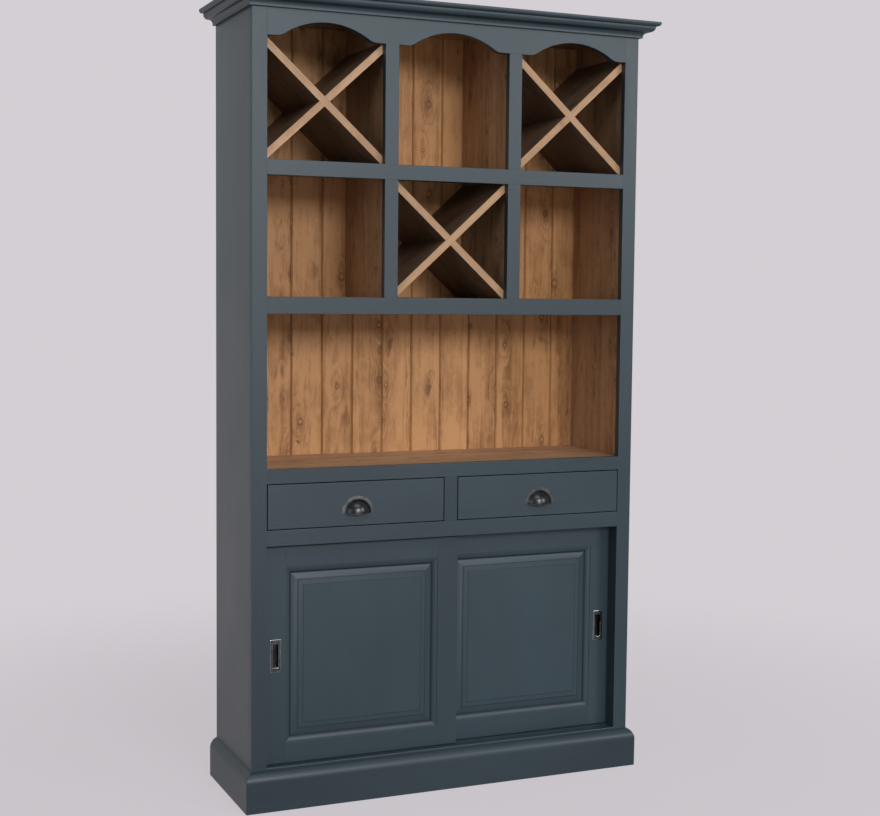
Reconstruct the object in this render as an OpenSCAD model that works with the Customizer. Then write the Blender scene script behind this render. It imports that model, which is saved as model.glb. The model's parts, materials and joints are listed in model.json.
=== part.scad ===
// Tall bar counter: a painted pine cabinet with a serving niche at counter height, two rows of
// bays with crossed bottle racks above it, two drawers below it and a cupboard with sliding doors.
// X runs to the right, Y to the back and Z up. The origin is on the floor, in the middle of the
// whole outline, which the cap board sets.

/* [Carcass] */
// Width over the two side panels
body_w = 1170; // [1120:1:1220]
// Depth from the face frame to the back
body_d = 358; // [340:1:400]
// Thickness of the side panels, dividers and shelves
panel_t = 18; // [15:1:20]
// Thickness of the board of the serving counter
counter_t = 22; // [18:1:26]
// Thickness of the cupboard's bottom board
bottom_t = 20; // [18:1:24]
// Depth of the housings that hold the ends of the shelves
housing_d = 6; // [4:0.5:7]
// Depth of the grooves that hold the dividers
divider_groove_d = 4; // [2:0.5:5]
// Height of the cupboard's loose shelf, from the bottom board to its top
cupboard_shelf_h = 313; // [200:1:420]
// Distance from the rear door to the cupboard shelf
shelf_gap = 12; // [6:1:40]

/* [Face frame] */
// Thickness of the face frame
frame_t = 22; // [20:1:25]
// Width of the outer stiles
stile_w = 43; // [38:1:50]
// Width of the muntins between the bays
muntin_w = 40; // [36:1:46]
// Width of the post between the drawers
post_w = 40; // [36:1:46]
// Thickness of the tenons
tenon_t = 8; // [6:1:9]
// Length of the tenons of the rails
tenon_l = 20; // [14:1:28]
// Length of the tenons of the muntins and of the post
stub_l = 14; // [10:1:15]
// Shoulder on each side of a tenon
tenon_shoulder = 6; // [4:0.5:8]
// Room left at the bottom of each mortise
mortise_gap = 1; // [0.5:0.5:2]

/* [Heights] */
// Height of the plinth where it meets the carcass
plinth_h = 112; // [95:1:130]
// Height of the sill above the plinth
sill_lip = 5; // [3:1:10]
// Height of the bottom rail
sill_rail_h = 60; // [45:1:80]
// Height of the door opening
door_open_h = 610; // [560:1:660]
// Height of the rail below the drawers
drawer_rail_h = 44; // [41:1:52]
// Height of the drawer openings
drawer_open_h = 126; // [115:1:145]
// Height of the rail along the serving counter
counter_rail_h = 39; // [34:1:46]
// Height of the serving niche
niche_h = 419; // [380:1:460]
// Height of the rail below the lower bays
lower_rail_h = 46; // [40:1:54]
// Height of the openings of the bays
bay_h = 323.5; // [305:0.5:345]
// Height of the rail between the two rows of bays
upper_rail_h = 41.5; // [38:0.5:50]
// Height of the valance where it meets the uprights
valance_h = 104.5; // [90:0.5:120]

/* [Valance] */
// Rise of the arches
arch_rise = 43; // [30:1:55]
// Straight length beside each upright
arch_land = 25; // [15:1:40]
// Radius of the rounded shoulders
shoulder_r = 40; // [20:1:55]

/* [Back boards] */
// Thickness of the back boards
back_t = 12; // [10:1:15]
// Width that each board covers
board_w = 95; // [80:1:120]
// Place of one of the joints, to the right of the middle
board_shift = 17.5; // [0:0.5:40]
// Least width of a board at the end of the row
board_least_w = 40; // [25:1:60]
// Gap between two boards
board_gap = 0.5; // [0.3:0.1:1]
// Depth of the V along each joint
v_groove_d = 4; // [2:0.5:4.5]
// Length of a tongue
tongue_l = 6; // [4:0.5:8]
// Thickness of a tongue
tongue_t = 3; // [2:0.5:4]
// Width of the rebate in the side panels
rebate_w = 8; // [6:0.5:9]
// Height of the boards' lower ends above the floor
back_lift = 40; // [20:1:60]

/* [Bottle racks] */
// Thickness of the rack boards
rack_t = 20; // [16:1:24]

/* [Plinth] */
// Thickness of the plinth
plinth_t = 20; // [16:1:24]
// Radius of its rounded top edge
plinth_r = 32; // [26:1:40]

/* [Crown moulding] */
// Width of the fillet at the bottom
fillet_w = 9; // [5:1:12]
// Height of that fillet
fillet_h = 4; // [3:1:8]
// Radius of the cove
cove_r = 12; // [8:1:16]
// Width of the step above the cove
step_w = 2; // [1:0.5:4]
// Radius of the quarter round
round_r = 13; // [8:1:16]
// Height of the flat edge at the top
lip_h = 3; // [2:1:6]

/* [Cap board] */
// Overhang of the cap board over the carcass
cap_out = 48; // [43:1:60]
// Thickness of the cap board
cap_t = 12; // [11:1:18]
// Radius under its edge
cap_under_r = 8; // [5:1:9]
// Radius on top of its edge
cap_top_r = 2; // [0.5:0.5:2]

/* [Drawers] */
// Gap round a drawer front
drawer_gap = 2.5; // [1.5:0.5:4]
// Thickness of a drawer front
drawer_front_t = 20; // [16:1:22]
// Thickness of the sides and the back of a drawer
drawer_side_t = 12; // [9:1:14]
// Height of the sides of a drawer
drawer_side_h = 100; // [80:1:104]
// Thickness of the bottom of a drawer
drawer_bottom_t = 6; // [4:0.5:8]
// Depth of the grooves that hold the bottom
bottom_groove_d = 5; // [3:0.5:6]
// Height of those grooves above the lower edge
bottom_lift = 8.5; // [8.5:0.5:14]
// Depth of the housings that hold the back
back_housing_d = 4; // [3:0.5:5]
// Length of the sides behind the back
drawer_tail_l = 10; // [5:1:20]
// Room behind a drawer
drawer_back_gap = 14; // [5:1:30]
// Wood left in front of the dovetails
lap_t = 8; // [5:1:9]
// Width of a dovetail at its neck
tail_w = 16; // [12:1:20]
// How much a dovetail widens on each side
tail_flare = 2; // [1:0.5:3]
// Running gap under a drawer
run_gap = 0.3; // [0.2:0.1:0.6]
// Height of the guide strips
guide_h = 40; // [25:1:60]
// Width of a stop block
stop_w = 30; // [20:1:50]
// Height of a stop block
stop_h = 7; // [5:0.5:7]
// Distance from a drawer's end to its stop block
stop_inset = 80; // [50:1:120]

/* [Cup pulls] */
// Width of the plate of a cup pull
cup_w = 97; // [86:1:106]
// Width of the rim round the cup
cup_rim = 4.5; // [3:0.5:7]
// Projection of the cup
cup_out = 23; // [18:1:30]
// How far the cup reaches below its widest line
cup_skirt = 6; // [3:1:9]
// Thickness of the metal
cup_t = 1.8; // [1.2:0.1:2.4]
// Height of the widest line above the middle of the drawer front
cup_raise = -26; // [-32:1:-10]

/* [Sliding doors] */
// Thickness of a door
door_t = 22; // [20:1:24]
// Gap between the face frame and the front door
front_gap = 2; // [1.5:0.5:4]
// Gap between the two doors
pass_gap = 4; // [3:0.5:6]
// Overlap of the closed doors
door_overlap = 67.4; // [60:0.1:80]
// How far a closed door reaches behind its stile
door_tuck = 1.5; // [0.5:0.5:4]
// Height of a door above the sill
door_lift = 2.5; // [2:0.5:4]
// Height of the track above the door opening
track_lift = 4; // [3:0.5:6]
// Gap between a door's shoulder and the track
track_gap = 1.5; // [1:0.5:2.5]
// Thickness of the track board
track_t = 22; // [18:1:24]
// Depth of the upper grooves
upper_groove_d = 14; // [10:1:16]
// Depth of the lower grooves
lower_groove_d = 8; // [6:1:10]
// Thickness of the tongues that run in the grooves
runner_t = 10; // [8:1:12]
// Gap on each side of a tongue
runner_gap = 0.5; // [0.3:0.1:1]
// Room above an upper tongue, for lifting the door out
lift_room = 6; // [3:0.5:8]
// Width of the flat of a door stile
door_stile_w = 61.5; // [55:0.5:70]
// Width of the flat of the top rail
door_top_w = 65.5; // [58:0.5:75]
// Width of the flat of the bottom rail
door_bottom_w = 55.5; // [50:0.5:65]
// Length of the tenons of the door rails
door_tenon_l = 40; // [25:1:48]
// Width of the moulding round a panel
stick_w = 18; // [14:0.5:22]
// Small drop where the moulding starts
stick_drop = 2; // [1:0.5:3]
// Depth of the moulding at the panel
stick_d = 10; // [8:0.5:11]
// Depth of the groove round a panel
panel_groove_d = 9; // [6:0.5:12]
// Thickness of a panel's edge
panel_edge_t = 7; // [5:0.5:8]
// Gap between a panel's edge and the bottom of its groove
panel_gap = 0.5; // [0.3:0.1:1.5]
// Width of the bevel of a raised panel
bevel_w = 20; // [14:1:26]
// Rise of the bevel
bevel_rise = 5; // [3:0.5:6]
// Fine step above the bevel
bevel_step = 1; // [0.5:0.5:1]
// Width of the gentle slope inside the step
slope_w = 15; // [10:1:20]
// Rise of that slope
slope_rise = 1.4; // [0.8:0.1:1.6]
// Fine step round the field
field_step = 0.6; // [0.3:0.1:1]

/* [Flush pulls] */
// Width of the plate of a flush pull
plate_w = 31; // [26:1:36]
// Height of that plate
plate_h = 91; // [80:1:105]
// Thickness of that plate
plate_t = 2; // [1.5:0.1:2.5]
// How far the plate stands out of the door
plate_out = 0.8; // [0.4:0.1:1.2]
// Width of the finger hollow
hollow_w = 17; // [14:1:20]
// Height of the finger hollow
hollow_h = 66; // [56:1:74]
// Depth of the finger hollow behind the plate
hollow_d = 10; // [8:0.5:12]
// Thickness of the walls of the hollow
hollow_t = 1; // [0.8:0.1:1.5]
// Distance from the door's outer edge to the middle of the plate
plate_inset = 33.5; // [28:0.5:40]
// Height of the plate's middle above the door's lower edge
plate_rise = 301; // [240:1:360]

/* [Hidden] */
$fn = 96;
clear = 1;

outer_x = body_w / 2;
inner_x = outer_x - panel_t;
housing_x = inner_x + housing_d;
open_x = outer_x - stile_w;
bay_w = (2 * open_x - 2 * muntin_w) / 3;
bay_pitch = bay_w + muntin_w;
divider_x = bay_pitch / 2;

front_y = (cap_out - body_d) / 2;
frame_y = front_y + frame_t;
back_y = front_y + body_d;
wall_y = back_y - back_t;
tenon_y = [front_y + (frame_t - tenon_t) / 2, front_y + (frame_t + tenon_t) / 2];
inside_y = [frame_y, wall_y];

sill_z = plinth_h + sill_lip;
door_top_z = sill_z + door_open_h;
drawer_z = door_top_z + drawer_rail_h;
drawer_top_z = drawer_z + drawer_open_h;
counter_z = drawer_top_z + counter_rail_h;
niche_top_z = counter_z + niche_h;
lower_z = niche_top_z + lower_rail_h;
lower_top_z = lower_z + bay_h;
upper_z = lower_top_z + upper_rail_h;
arch_z = upper_z + bay_h;
body_h = arch_z + valance_h;

sill_range = [sill_z - sill_rail_h, sill_z];
drawer_range = [door_top_z, drawer_z];
counter_range = [drawer_top_z, counter_z];
lower_range = [niche_top_z, lower_z];
upper_range = [lower_top_z, upper_z];
valance_range = [arch_z, body_h];

top_board = [body_h - panel_t, body_h];
upper_shelf = [upper_z - panel_t, upper_z];
lower_shelf = [lower_z - panel_t, lower_z];
counter_board = [counter_z - counter_t, counter_z];
dust_board = [drawer_z - panel_t, drawer_z];
bottom_board = [sill_z - bottom_t, sill_z];
loose_shelf = [sill_z + cupboard_shelf_h - panel_t, sill_z + cupboard_shelf_h];

arch_half = bay_w / 2 - arch_land;
arch_r = (pow(arch_half, 2) + pow(arch_rise, 2)) / (2 * arch_rise) - shoulder_r;
blend_x = arch_half * arch_r / (arch_r + shoulder_r);
blend_z = arch_rise - arch_r + (arch_r + shoulder_r - arch_rise) * arch_r / (arch_r + shoulder_r);

rack_angle = atan(bay_h / (bay_pitch - panel_t));
rack_reach = bay_pitch;

crown_out = fillet_w + cove_r + step_w + round_r;
crown_h = fillet_h + cove_r + round_r + lip_h;
plinth_nose_z = plinth_h - sqrt(pow(plinth_r, 2) - pow(plinth_r - plinth_t, 2));

drawer_x = [post_w / 2 + drawer_gap, open_x - drawer_gap];
drawer_side_z = drawer_z + run_gap;
drawer_back_y = front_y + drawer_front_t;
drawer_end_y = wall_y - drawer_back_gap;
drawer_mid_x = (drawer_x[0] + drawer_x[1]) / 2;
drawer_mid_z = drawer_z + drawer_open_h / 2;
groove_range = [drawer_side_z + bottom_lift, drawer_side_z + bottom_lift + drawer_bottom_t];
cup_half = cup_w / 2 - cup_rim;
cup_r = (pow(cup_half, 2) + pow(cup_out, 2)) / (2 * cup_out);
cup_z = drawer_mid_z + cup_raise;

door_edge_x = open_x + door_tuck;
door_w = door_edge_x + door_overlap / 2;
front_door_y = frame_y + front_gap;
rear_door_y = front_door_y + door_t + pass_gap;
door_z = sill_z + door_lift;
track_z = door_top_z + track_lift;
door_h = track_z - track_gap - door_z;
sight_x = [door_stile_w, door_w - door_stile_w];
sight_z = [door_bottom_w, door_h - door_top_w];
stick_r = (pow(stick_w, 2) + pow(stick_d - stick_drop, 2)) / (2 * (stick_d - stick_drop));
panel_d = [stick_d, stick_d + panel_edge_t];
panel_in = stick_w - panel_groove_d;
groove_w = runner_t + 2 * runner_gap;
lower_runner_h = door_lift + lower_groove_d - run_gap;
upper_runner_h = track_gap + upper_groove_d - lift_room;
rear_room_y = rear_door_y + door_t + shelf_gap;

paint = [0.28, 0.33, 0.37];
pine = [0.66, 0.5, 0.37];
pale_pine = [0.72, 0.57, 0.43];
nickel = [0.75, 0.75, 0.74];

// Box given by its ranges along X, Y and Z
module block(x, y, z) {
  translate([x[0], y[0], z[0]])
    cube([x[1] - x[0], y[1] - y[0], z[1] - z[0]]);
}

// The children and their mirror image on the other side of the cabinet
module both_sides() {
  children();
  mirror([1, 0, 0]) children();
}

// Outline given as [out, up], drawn out along the front and mitred at both corners
module front_moulding(out, z, h) {
  intersection() {
    translate([-outer_x - out, front_y, z])
      rotate([90, 0, 90])
        linear_extrude(2 * (outer_x + out))
          mirror([1, 0]) children();
    translate([0, 0, z])
      linear_extrude(h)
        polygon([[-outer_x - out, front_y - out], [outer_x + out, front_y - out],
          [outer_x, front_y], [-outer_x, front_y]]);
  }
}

// The same outline along the right side, mitred at the front and square at the back
module side_moulding(out, z, h) {
  intersection() {
    translate([outer_x, back_y, z])
      rotate([90, 0, 0])
        linear_extrude(body_d + out)
          children();
    translate([0, 0, z])
      linear_extrude(h)
        polygon([[outer_x, front_y], [outer_x + out, front_y - out],
          [outer_x + out, back_y], [outer_x, back_y]]);
  }
}

// Plinth boards, with a rounded top edge
module plinth_outline() {
  square([plinth_t, plinth_nose_z]);
  intersection() {
    square([plinth_t, plinth_h]);
    translate([plinth_t - plinth_r, plinth_nose_z]) circle(plinth_r);
  }
}

module plinth_front() {
  color(paint) front_moulding(plinth_t, 0, plinth_h) plinth_outline();
}

module plinth_right() {
  color(paint) side_moulding(plinth_t, 0, plinth_h) plinth_outline();
}

module plinth_left() {
  mirror([1, 0, 0]) plinth_right();
}

// Crown moulding: fillet, cove, step, quarter round and lip
module crown_outline() {
  difference() {
    square([crown_out, crown_h]);
    translate([fillet_w, -clear]) square([crown_out, fillet_h + clear]);
    translate([fillet_w + cove_r, fillet_h]) circle(cove_r);
    translate([fillet_w + cove_r, -clear]) square([crown_out, fillet_h + cove_r + clear]);
    translate([crown_out - round_r, fillet_h + cove_r]) difference() {
      square([round_r + clear, round_r]);
      translate([0, round_r]) circle(round_r);
    }
  }
}

module crown_front() {
  color(paint) front_moulding(crown_out, body_h - crown_h, crown_h) crown_outline();
}

module crown_right() {
  color(paint) side_moulding(crown_out, body_h - crown_h, crown_h) crown_outline();
}

module crown_left() {
  mirror([1, 0, 0]) crown_right();
}

// Cap board, with a nosing on the front and both sides
module corner_waste(r) {
  difference() {
    translate([-clear, -clear]) square([r + clear, r + clear]);
    translate([r, r]) circle(r);
  }
}

module nosing_waste() {
  corner_waste(cap_under_r);
  translate([0, cap_t]) mirror([0, 1]) corner_waste(cap_top_r);
}

module cap_board() {
  cap_x = outer_x + cap_out;
  cap_d = body_d + cap_out;
  color(paint) intersection() {
    translate([-cap_x, front_y - cap_out, body_h])
      rotate([90, 0, 90])
        linear_extrude(2 * cap_x)
          difference() {
            square([cap_d, cap_t]);
            nosing_waste();
          }
    translate([0, back_y, body_h])
      rotate([90, 0, 0])
        linear_extrude(cap_d)
          difference() {
            translate([-cap_x, 0]) square([2 * cap_x, cap_t]);
            translate([-cap_x, 0]) nosing_waste();
            translate([cap_x, 0]) mirror([1, 0]) nosing_waste();
          }
  }
}

// Side panels, housed for the boards and rebated for the back
module side_right() {
  color(paint) difference() {
    block([inner_x, outer_x], [frame_y, back_y], [0, body_h]);
    for (z = [top_board, upper_shelf, lower_shelf, counter_board, dust_board, bottom_board])
      block([inner_x - clear, housing_x], [frame_y - clear, wall_y], z);
    block([inner_x - clear, housing_x], [rear_room_y, wall_y], loose_shelf);
    block([inner_x - clear, inner_x + rebate_w], [wall_y, back_y + clear],
      [-clear, body_h + clear]);
  }
}

module side_left() {
  mirror([1, 0, 0]) side_right();
}

// Face frame: stiles with a mortise for each rail
module stile_right() {
  color(paint) difference() {
    block([open_x, outer_x], [front_y, frame_y], [0, body_h]);
    for (z = [sill_range, drawer_range, counter_range, lower_range, upper_range, valance_range])
      block([open_x - clear, open_x + tenon_l + mortise_gap], tenon_y,
        [z[0] + tenon_shoulder, z[1] - tenon_shoulder]);
  }
}

module stile_left() {
  mirror([1, 0, 0]) stile_right();
}

// A rail between the stiles, with its two tenons
module rail(z) {
  block([-open_x, open_x], [front_y, frame_y], z);
  block([-open_x - tenon_l, open_x + tenon_l], tenon_y,
    [z[0] + tenon_shoulder, z[1] - tenon_shoulder]);
}

// Room for the tenon of an upright, above or below the level z
module stub_mortise(x, w, z, side) {
  room = stub_l + mortise_gap;
  block([x - w / 2 + tenon_shoulder, x + w / 2 - tenon_shoulder], tenon_y,
    side > 0 ? [z - clear, z + room] : [z - room, z + clear]);
}

module muntin_mortises(z, side) {
  for (x = [-divider_x, divider_x])
    stub_mortise(x, muntin_w, z, side);
}

module rail_sill() {
  color(paint) rail(sill_range);
}

module rail_drawer() {
  color(paint) difference() {
    rail(drawer_range);
    stub_mortise(0, post_w, drawer_z, -1);
  }
}

module rail_counter() {
  color(paint) difference() {
    rail(counter_range);
    stub_mortise(0, post_w, drawer_top_z, 1);
  }
}

module rail_lower() {
  color(paint) difference() {
    rail(lower_range);
    muntin_mortises(lower_z, -1);
  }
}

module rail_upper() {
  color(paint) difference() {
    rail(upper_range);
    muntin_mortises(upper_z, -1);
    muntin_mortises(lower_top_z, 1);
  }
}

// Arch of the valance: one wide arc that two rounded shoulders lead into
module arch() {
  intersection() {
    translate([0, arch_rise - arch_r]) circle(arch_r);
    translate([-blend_x, 0]) square([2 * blend_x, arch_rise + clear]);
  }
  difference() {
    translate([-arch_half, -clear]) square([2 * arch_half, blend_z + clear]);
    for (side = [-1, 1])
      translate([side * arch_half, shoulder_r]) circle(shoulder_r);
  }
}

module valance() {
  color(paint) difference() {
    rail(valance_range);
    muntin_mortises(arch_z, 1);
    for (bay = [-1, 0, 1])
      translate([bay * bay_pitch, frame_y + clear, arch_z])
        rotate([90, 0, 0])
          linear_extrude(frame_t + 2 * clear)
            arch();
  }
}

// An upright of the face frame, tenoned at both ends
module upright(x, w, z) {
  block([x - w / 2, x + w / 2], [front_y, frame_y], z);
  block([x - w / 2 + tenon_shoulder, x + w / 2 - tenon_shoulder], tenon_y,
    [z[0] - stub_l, z[1] + stub_l]);
}

module muntins_lower() {
  color(paint) both_sides() upright(divider_x, muntin_w, [lower_z, lower_top_z]);
}

module muntins_upper() {
  color(paint) both_sides() upright(divider_x, muntin_w, [upper_z, arch_z]);
}

module drawer_post() {
  color(paint) upright(0, post_w, [drawer_z, drawer_top_z]);
}

// Shelves and boards, their ends housed in the side panels
module housed_board(z) {
  block([-housing_x, housing_x], inside_y, z);
}

module divider(z) {
  block([divider_x - panel_t / 2, divider_x + panel_t / 2], inside_y,
    [z[0] - divider_groove_d, z[1] + divider_groove_d]);
}

module dividers_lower() {
  color(pine) both_sides() divider([lower_z, upper_shelf[0]]);
}

module dividers_upper() {
  color(pine) both_sides() divider([upper_z, top_board[0]]);
}

module board_top() {
  color(pine) difference() {
    housed_board(top_board);
    dividers_upper();
  }
}

module shelf_upper() {
  color(pine) difference() {
    housed_board(upper_shelf);
    dividers_upper();
    dividers_lower();
  }
}

module shelf_lower() {
  color(pine) difference() {
    housed_board(lower_shelf);
    dividers_lower();
  }
}

module board_counter() {
  color(pine) housed_board(counter_board);
}

module board_dust() {
  color(pine) housed_board(dust_board);
}

// Bottom board, with a groove for each sliding door
module door_grooves(z) {
  for (y = [front_door_y, rear_door_y])
    block([-inner_x, inner_x],
      [y + (door_t - groove_w) / 2, y + (door_t + groove_w) / 2], z);
}

module board_bottom() {
  color(pine) difference() {
    housed_board(bottom_board);
    door_grooves([sill_z - lower_groove_d, sill_z + clear]);
  }
}

module door_track() {
  color(pine) difference() {
    block([-inner_x, inner_x], [frame_y, rear_room_y], [track_z, dust_board[0]]);
    door_grooves([track_z - clear, track_z + upper_groove_d]);
  }
}

module door_stops() {
  color(paint) both_sides()
    block([door_edge_x + run_gap, inner_x], [frame_y, rear_door_y + door_t],
      [sill_z, track_z]);
}

module shelf_cupboard() {
  color(pine) block([-housing_x, housing_x], [rear_room_y, wall_y], loose_shelf);
}

// Back: tongued and grooved boards with a V along each joint
back_x = inner_x + rebate_w;
first_joint = ceil((board_least_w - back_x - board_shift) / board_w);
last_joint = floor((back_x - board_least_w - board_shift) / board_w);
joints = [for (i = [first_joint:last_joint]) board_shift + i * board_w];
board_edges = concat([-back_x], joints, [back_x]);

module back_board(x0, x1, grooved, tongued) {
  half = board_gap / 2;
  left = x0 + (grooved ? half : 0);
  right = x1 - (tongued ? half : 0);
  v = v_groove_d;
  tongue_y = wall_y + (back_t - tongue_t + v_groove_d) / 2;
  difference() {
    union() {
      block([left, right], [wall_y, back_y], [back_lift, body_h]);
      if (tongued)
        block([right - clear, right + tongue_l], [tongue_y, tongue_y + tongue_t],
          [back_lift, body_h]);
    }
    if (grooved)
      block([left - clear, left + tongue_l + board_gap],
        [tongue_y - half, tongue_y + tongue_t + half], [back_lift - clear, body_h + clear]);
    translate([0, wall_y, back_lift - clear])
      linear_extrude(body_h - back_lift + 2 * clear) {
        if (grooved) polygon([[left - v, -v], [left + v - half, 0], [left - half, v], [left - v, v]]);
        if (tongued) polygon([[right + v, -v], [right - v + half, 0], [right + half, v], [right + v, v]]);
      }
  }
}

module back_boards() {
  last = len(board_edges) - 2;
  color(pale_pine)
    for (i = [0:last])
      back_board(board_edges[i], board_edges[i + 1], i > 0, i < last);
}

// Bottle racks: two boards that cross corner to corner and are halved over each other
module rack_slab(x, z, tilt, y) {
  translate([x, 0, z + bay_h / 2])
    rotate([0, -tilt, 0])
      block([-rack_reach, rack_reach], y, [-rack_t / 2, rack_t / 2]);
}

module rack_board(bay, shelf, ceiling, tilt, in_front) {
  mid_y = (frame_y + wall_y) / 2;
  walls = bay == 0 ? [-divider_x + panel_t / 2, divider_x - panel_t / 2]
    : bay < 0 ? [-inner_x, -divider_x - panel_t / 2] : [divider_x + panel_t / 2, inner_x];
  color(pale_pine) intersection() {
    block(walls, inside_y, [shelf, ceiling]);
    difference() {
      rack_slab(bay * bay_pitch, shelf, tilt, inside_y);
      rack_slab(bay * bay_pitch, shelf, -tilt,
        in_front ? [mid_y, wall_y + clear] : [frame_y - clear, mid_y]);
    }
  }
}

module rack_left_rise() {
  rack_board(-1, upper_z, top_board[0], rack_angle, false);
}

module rack_left_fall() {
  rack_board(-1, upper_z, top_board[0], -rack_angle, true);
}

module rack_middle_rise() {
  rack_board(0, lower_z, upper_shelf[0], rack_angle, true);
}

module rack_middle_fall() {
  rack_board(0, lower_z, upper_shelf[0], -rack_angle, false);
}

module rack_right_rise() {
  rack_board(1, upper_z, top_board[0], rack_angle, false);
}

module rack_right_fall() {
  rack_board(1, upper_z, top_board[0], -rack_angle, true);
}

// Drawer bay: a partition in the middle, guide strips and stop blocks
module drawer_partition() {
  color(pine) block([-panel_t / 2, panel_t / 2], inside_y, [drawer_z, counter_board[0]]);
}

module drawer_guides() {
  color(pine) both_sides() {
    block([open_x, inner_x], [frame_y, drawer_end_y], [drawer_z, drawer_z + guide_h]);
    block([panel_t / 2, post_w / 2], [frame_y, drawer_end_y], [drawer_z, drawer_z + guide_h]);
    for (x = [drawer_x[0] + stop_inset, drawer_x[1] - stop_inset])
      block([x - stop_w / 2, x + stop_w / 2],
        [drawer_back_y + run_gap, drawer_back_y + run_gap + drawer_side_t],
        [drawer_z, drawer_z + stop_h]);
  }
}

// Three dovetails of the right drawer's outer side, from its neck to the lap
module tails(x) {
  pitch = drawer_side_h / 3;
  neck = tail_w / 2;
  translate([x[0], 0, drawer_side_z])
    rotate([90, 0, 90])
      linear_extrude(x[1] - x[0])
        for (i = [0:2])
          translate([drawer_back_y, (i + 0.5) * pitch])
            polygon([[clear, -neck], [clear, neck], [0, neck],
              [lap_t - drawer_front_t, neck + tail_flare],
              [lap_t - drawer_front_t, -neck - tail_flare], [0, -neck]]);
}

module right_drawer_front() {
  difference() {
    block(drawer_x, [front_y, drawer_back_y],
      [drawer_z + drawer_gap, drawer_top_z - drawer_gap]);
    tails([drawer_x[0] - clear, drawer_x[0] + drawer_side_t]);
    tails([drawer_x[1] - drawer_side_t, drawer_x[1] + clear]);
    block([drawer_x[0] + drawer_side_t - bottom_groove_d,
        drawer_x[1] - drawer_side_t + bottom_groove_d],
      [drawer_back_y - bottom_groove_d, drawer_back_y + clear], groove_range);
  }
}

module right_drawer_sides() {
  back_end = drawer_end_y - drawer_tail_l;
  for (x = [[drawer_x[0], drawer_x[0] + drawer_side_t],
      [drawer_x[1] - drawer_side_t, drawer_x[1]]])
    difference() {
      union() {
        block(x, [drawer_back_y, drawer_end_y],
          [drawer_side_z, drawer_side_z + drawer_side_h]);
        tails(x);
      }
      block([drawer_x[0] + drawer_side_t - bottom_groove_d,
          drawer_x[1] - drawer_side_t + bottom_groove_d],
        [drawer_back_y - bottom_groove_d, drawer_end_y + clear], groove_range);
      block([drawer_x[0] + drawer_side_t - back_housing_d,
          drawer_x[1] - drawer_side_t + back_housing_d],
        [back_end - drawer_side_t, back_end],
        [groove_range[1], drawer_side_z + drawer_side_h + clear]);
    }
}

module right_drawer_back() {
  back_end = drawer_end_y - drawer_tail_l;
  block([drawer_x[0] + drawer_side_t - back_housing_d,
      drawer_x[1] - drawer_side_t + back_housing_d],
    [back_end - drawer_side_t, back_end],
    [groove_range[1], drawer_side_z + drawer_side_h]);
}

module right_drawer_bottom() {
  block([drawer_x[0] + drawer_side_t - bottom_groove_d,
      drawer_x[1] - drawer_side_t + bottom_groove_d],
    [drawer_back_y - bottom_groove_d, drawer_end_y - drawer_tail_l], groove_range);
}

// Cup pull: a hollow quarter dome in a flat rim, open underneath for the fingers
module cup_pull() {
  dome_y = front_y + cup_r - cup_out;
  intersection() {
    block([drawer_mid_x - cup_w, drawer_mid_x + cup_w], [front_y - cup_w, front_y],
      [cup_z - cup_skirt, cup_z + cup_w]);
    difference() {
      union() {
        translate([drawer_mid_x, dome_y, cup_z]) sphere(cup_r);
        translate([drawer_mid_x, front_y, cup_z]) rotate([90, 0, 0]) cylinder(h = cup_t, d = cup_w);
      }
      translate([drawer_mid_x, dome_y, cup_z]) sphere(cup_r - cup_t);
    }
  }
}

module drawer_right_front() {
  color(paint) right_drawer_front();
}

module drawer_right_sides() {
  color(pine) right_drawer_sides();
}

module drawer_right_back() {
  color(pine) right_drawer_back();
}

module drawer_right_bottom() {
  color(pale_pine) right_drawer_bottom();
}

module drawer_right_pull() {
  color(nickel) cup_pull();
}

module drawer_left_front() {
  mirror([1, 0, 0]) drawer_right_front();
}

module drawer_left_sides() {
  mirror([1, 0, 0]) drawer_right_sides();
}

module drawer_left_back() {
  mirror([1, 0, 0]) drawer_right_back();
}

module drawer_left_bottom() {
  mirror([1, 0, 0]) drawer_right_bottom();
}

module drawer_left_pull() {
  mirror([1, 0, 0]) drawer_right_pull();
}

// Sliding door, in its own frame: the outer edge at X 0, the face at Y 0 and the lower
// shoulder at Z 0. Its depths are measured from the face.
module stick_outline() {
  intersection() {
    square([stick_w, door_t + clear]);
    translate([0, stick_drop + stick_r]) circle(stick_r);
  }
}

// Room inside the door frame, across a span from flat to flat
module sight_outline(span) {
  difference() {
    translate([0, -clear]) square([span, door_t + 2 * clear]);
    stick_outline();
    translate([span, 0]) mirror([1, 0]) stick_outline();
  }
}

// Outline across a raised panel: bevel, fine step, slope and field, with a flat back
module panel_outline(span) {
  edge = panel_in + panel_gap;
  bevel_end = stick_w + bevel_w;
  slope_end = bevel_end + slope_w;
  step_d = stick_d - bevel_rise - bevel_step;
  half = [[edge, stick_d], [stick_w, stick_d], [bevel_end, stick_d - bevel_rise],
    [bevel_end, step_d], [slope_end, step_d - slope_rise],
    [slope_end, step_d - slope_rise - field_step]];
  last = len(half) - 1;
  other = [for (i = [0:last]) [span - half[last - i][0], half[last - i][1]]];
  polygon(concat(half, other, [[span - edge, panel_d[1]], [edge, panel_d[1]]]));
}

// Turns an outline across the width into a bar up the door, or one across the height
// into a bar along it
module bar_up(z) {
  translate([sight_x[0], 0, z[0]]) linear_extrude(z[1] - z[0]) children();
}

module bar_along(x) {
  translate([x[1], 0, sight_z[0]])
    rotate([0, -90, 0])
      linear_extrude(x[1] - x[0])
        children();
}

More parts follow.
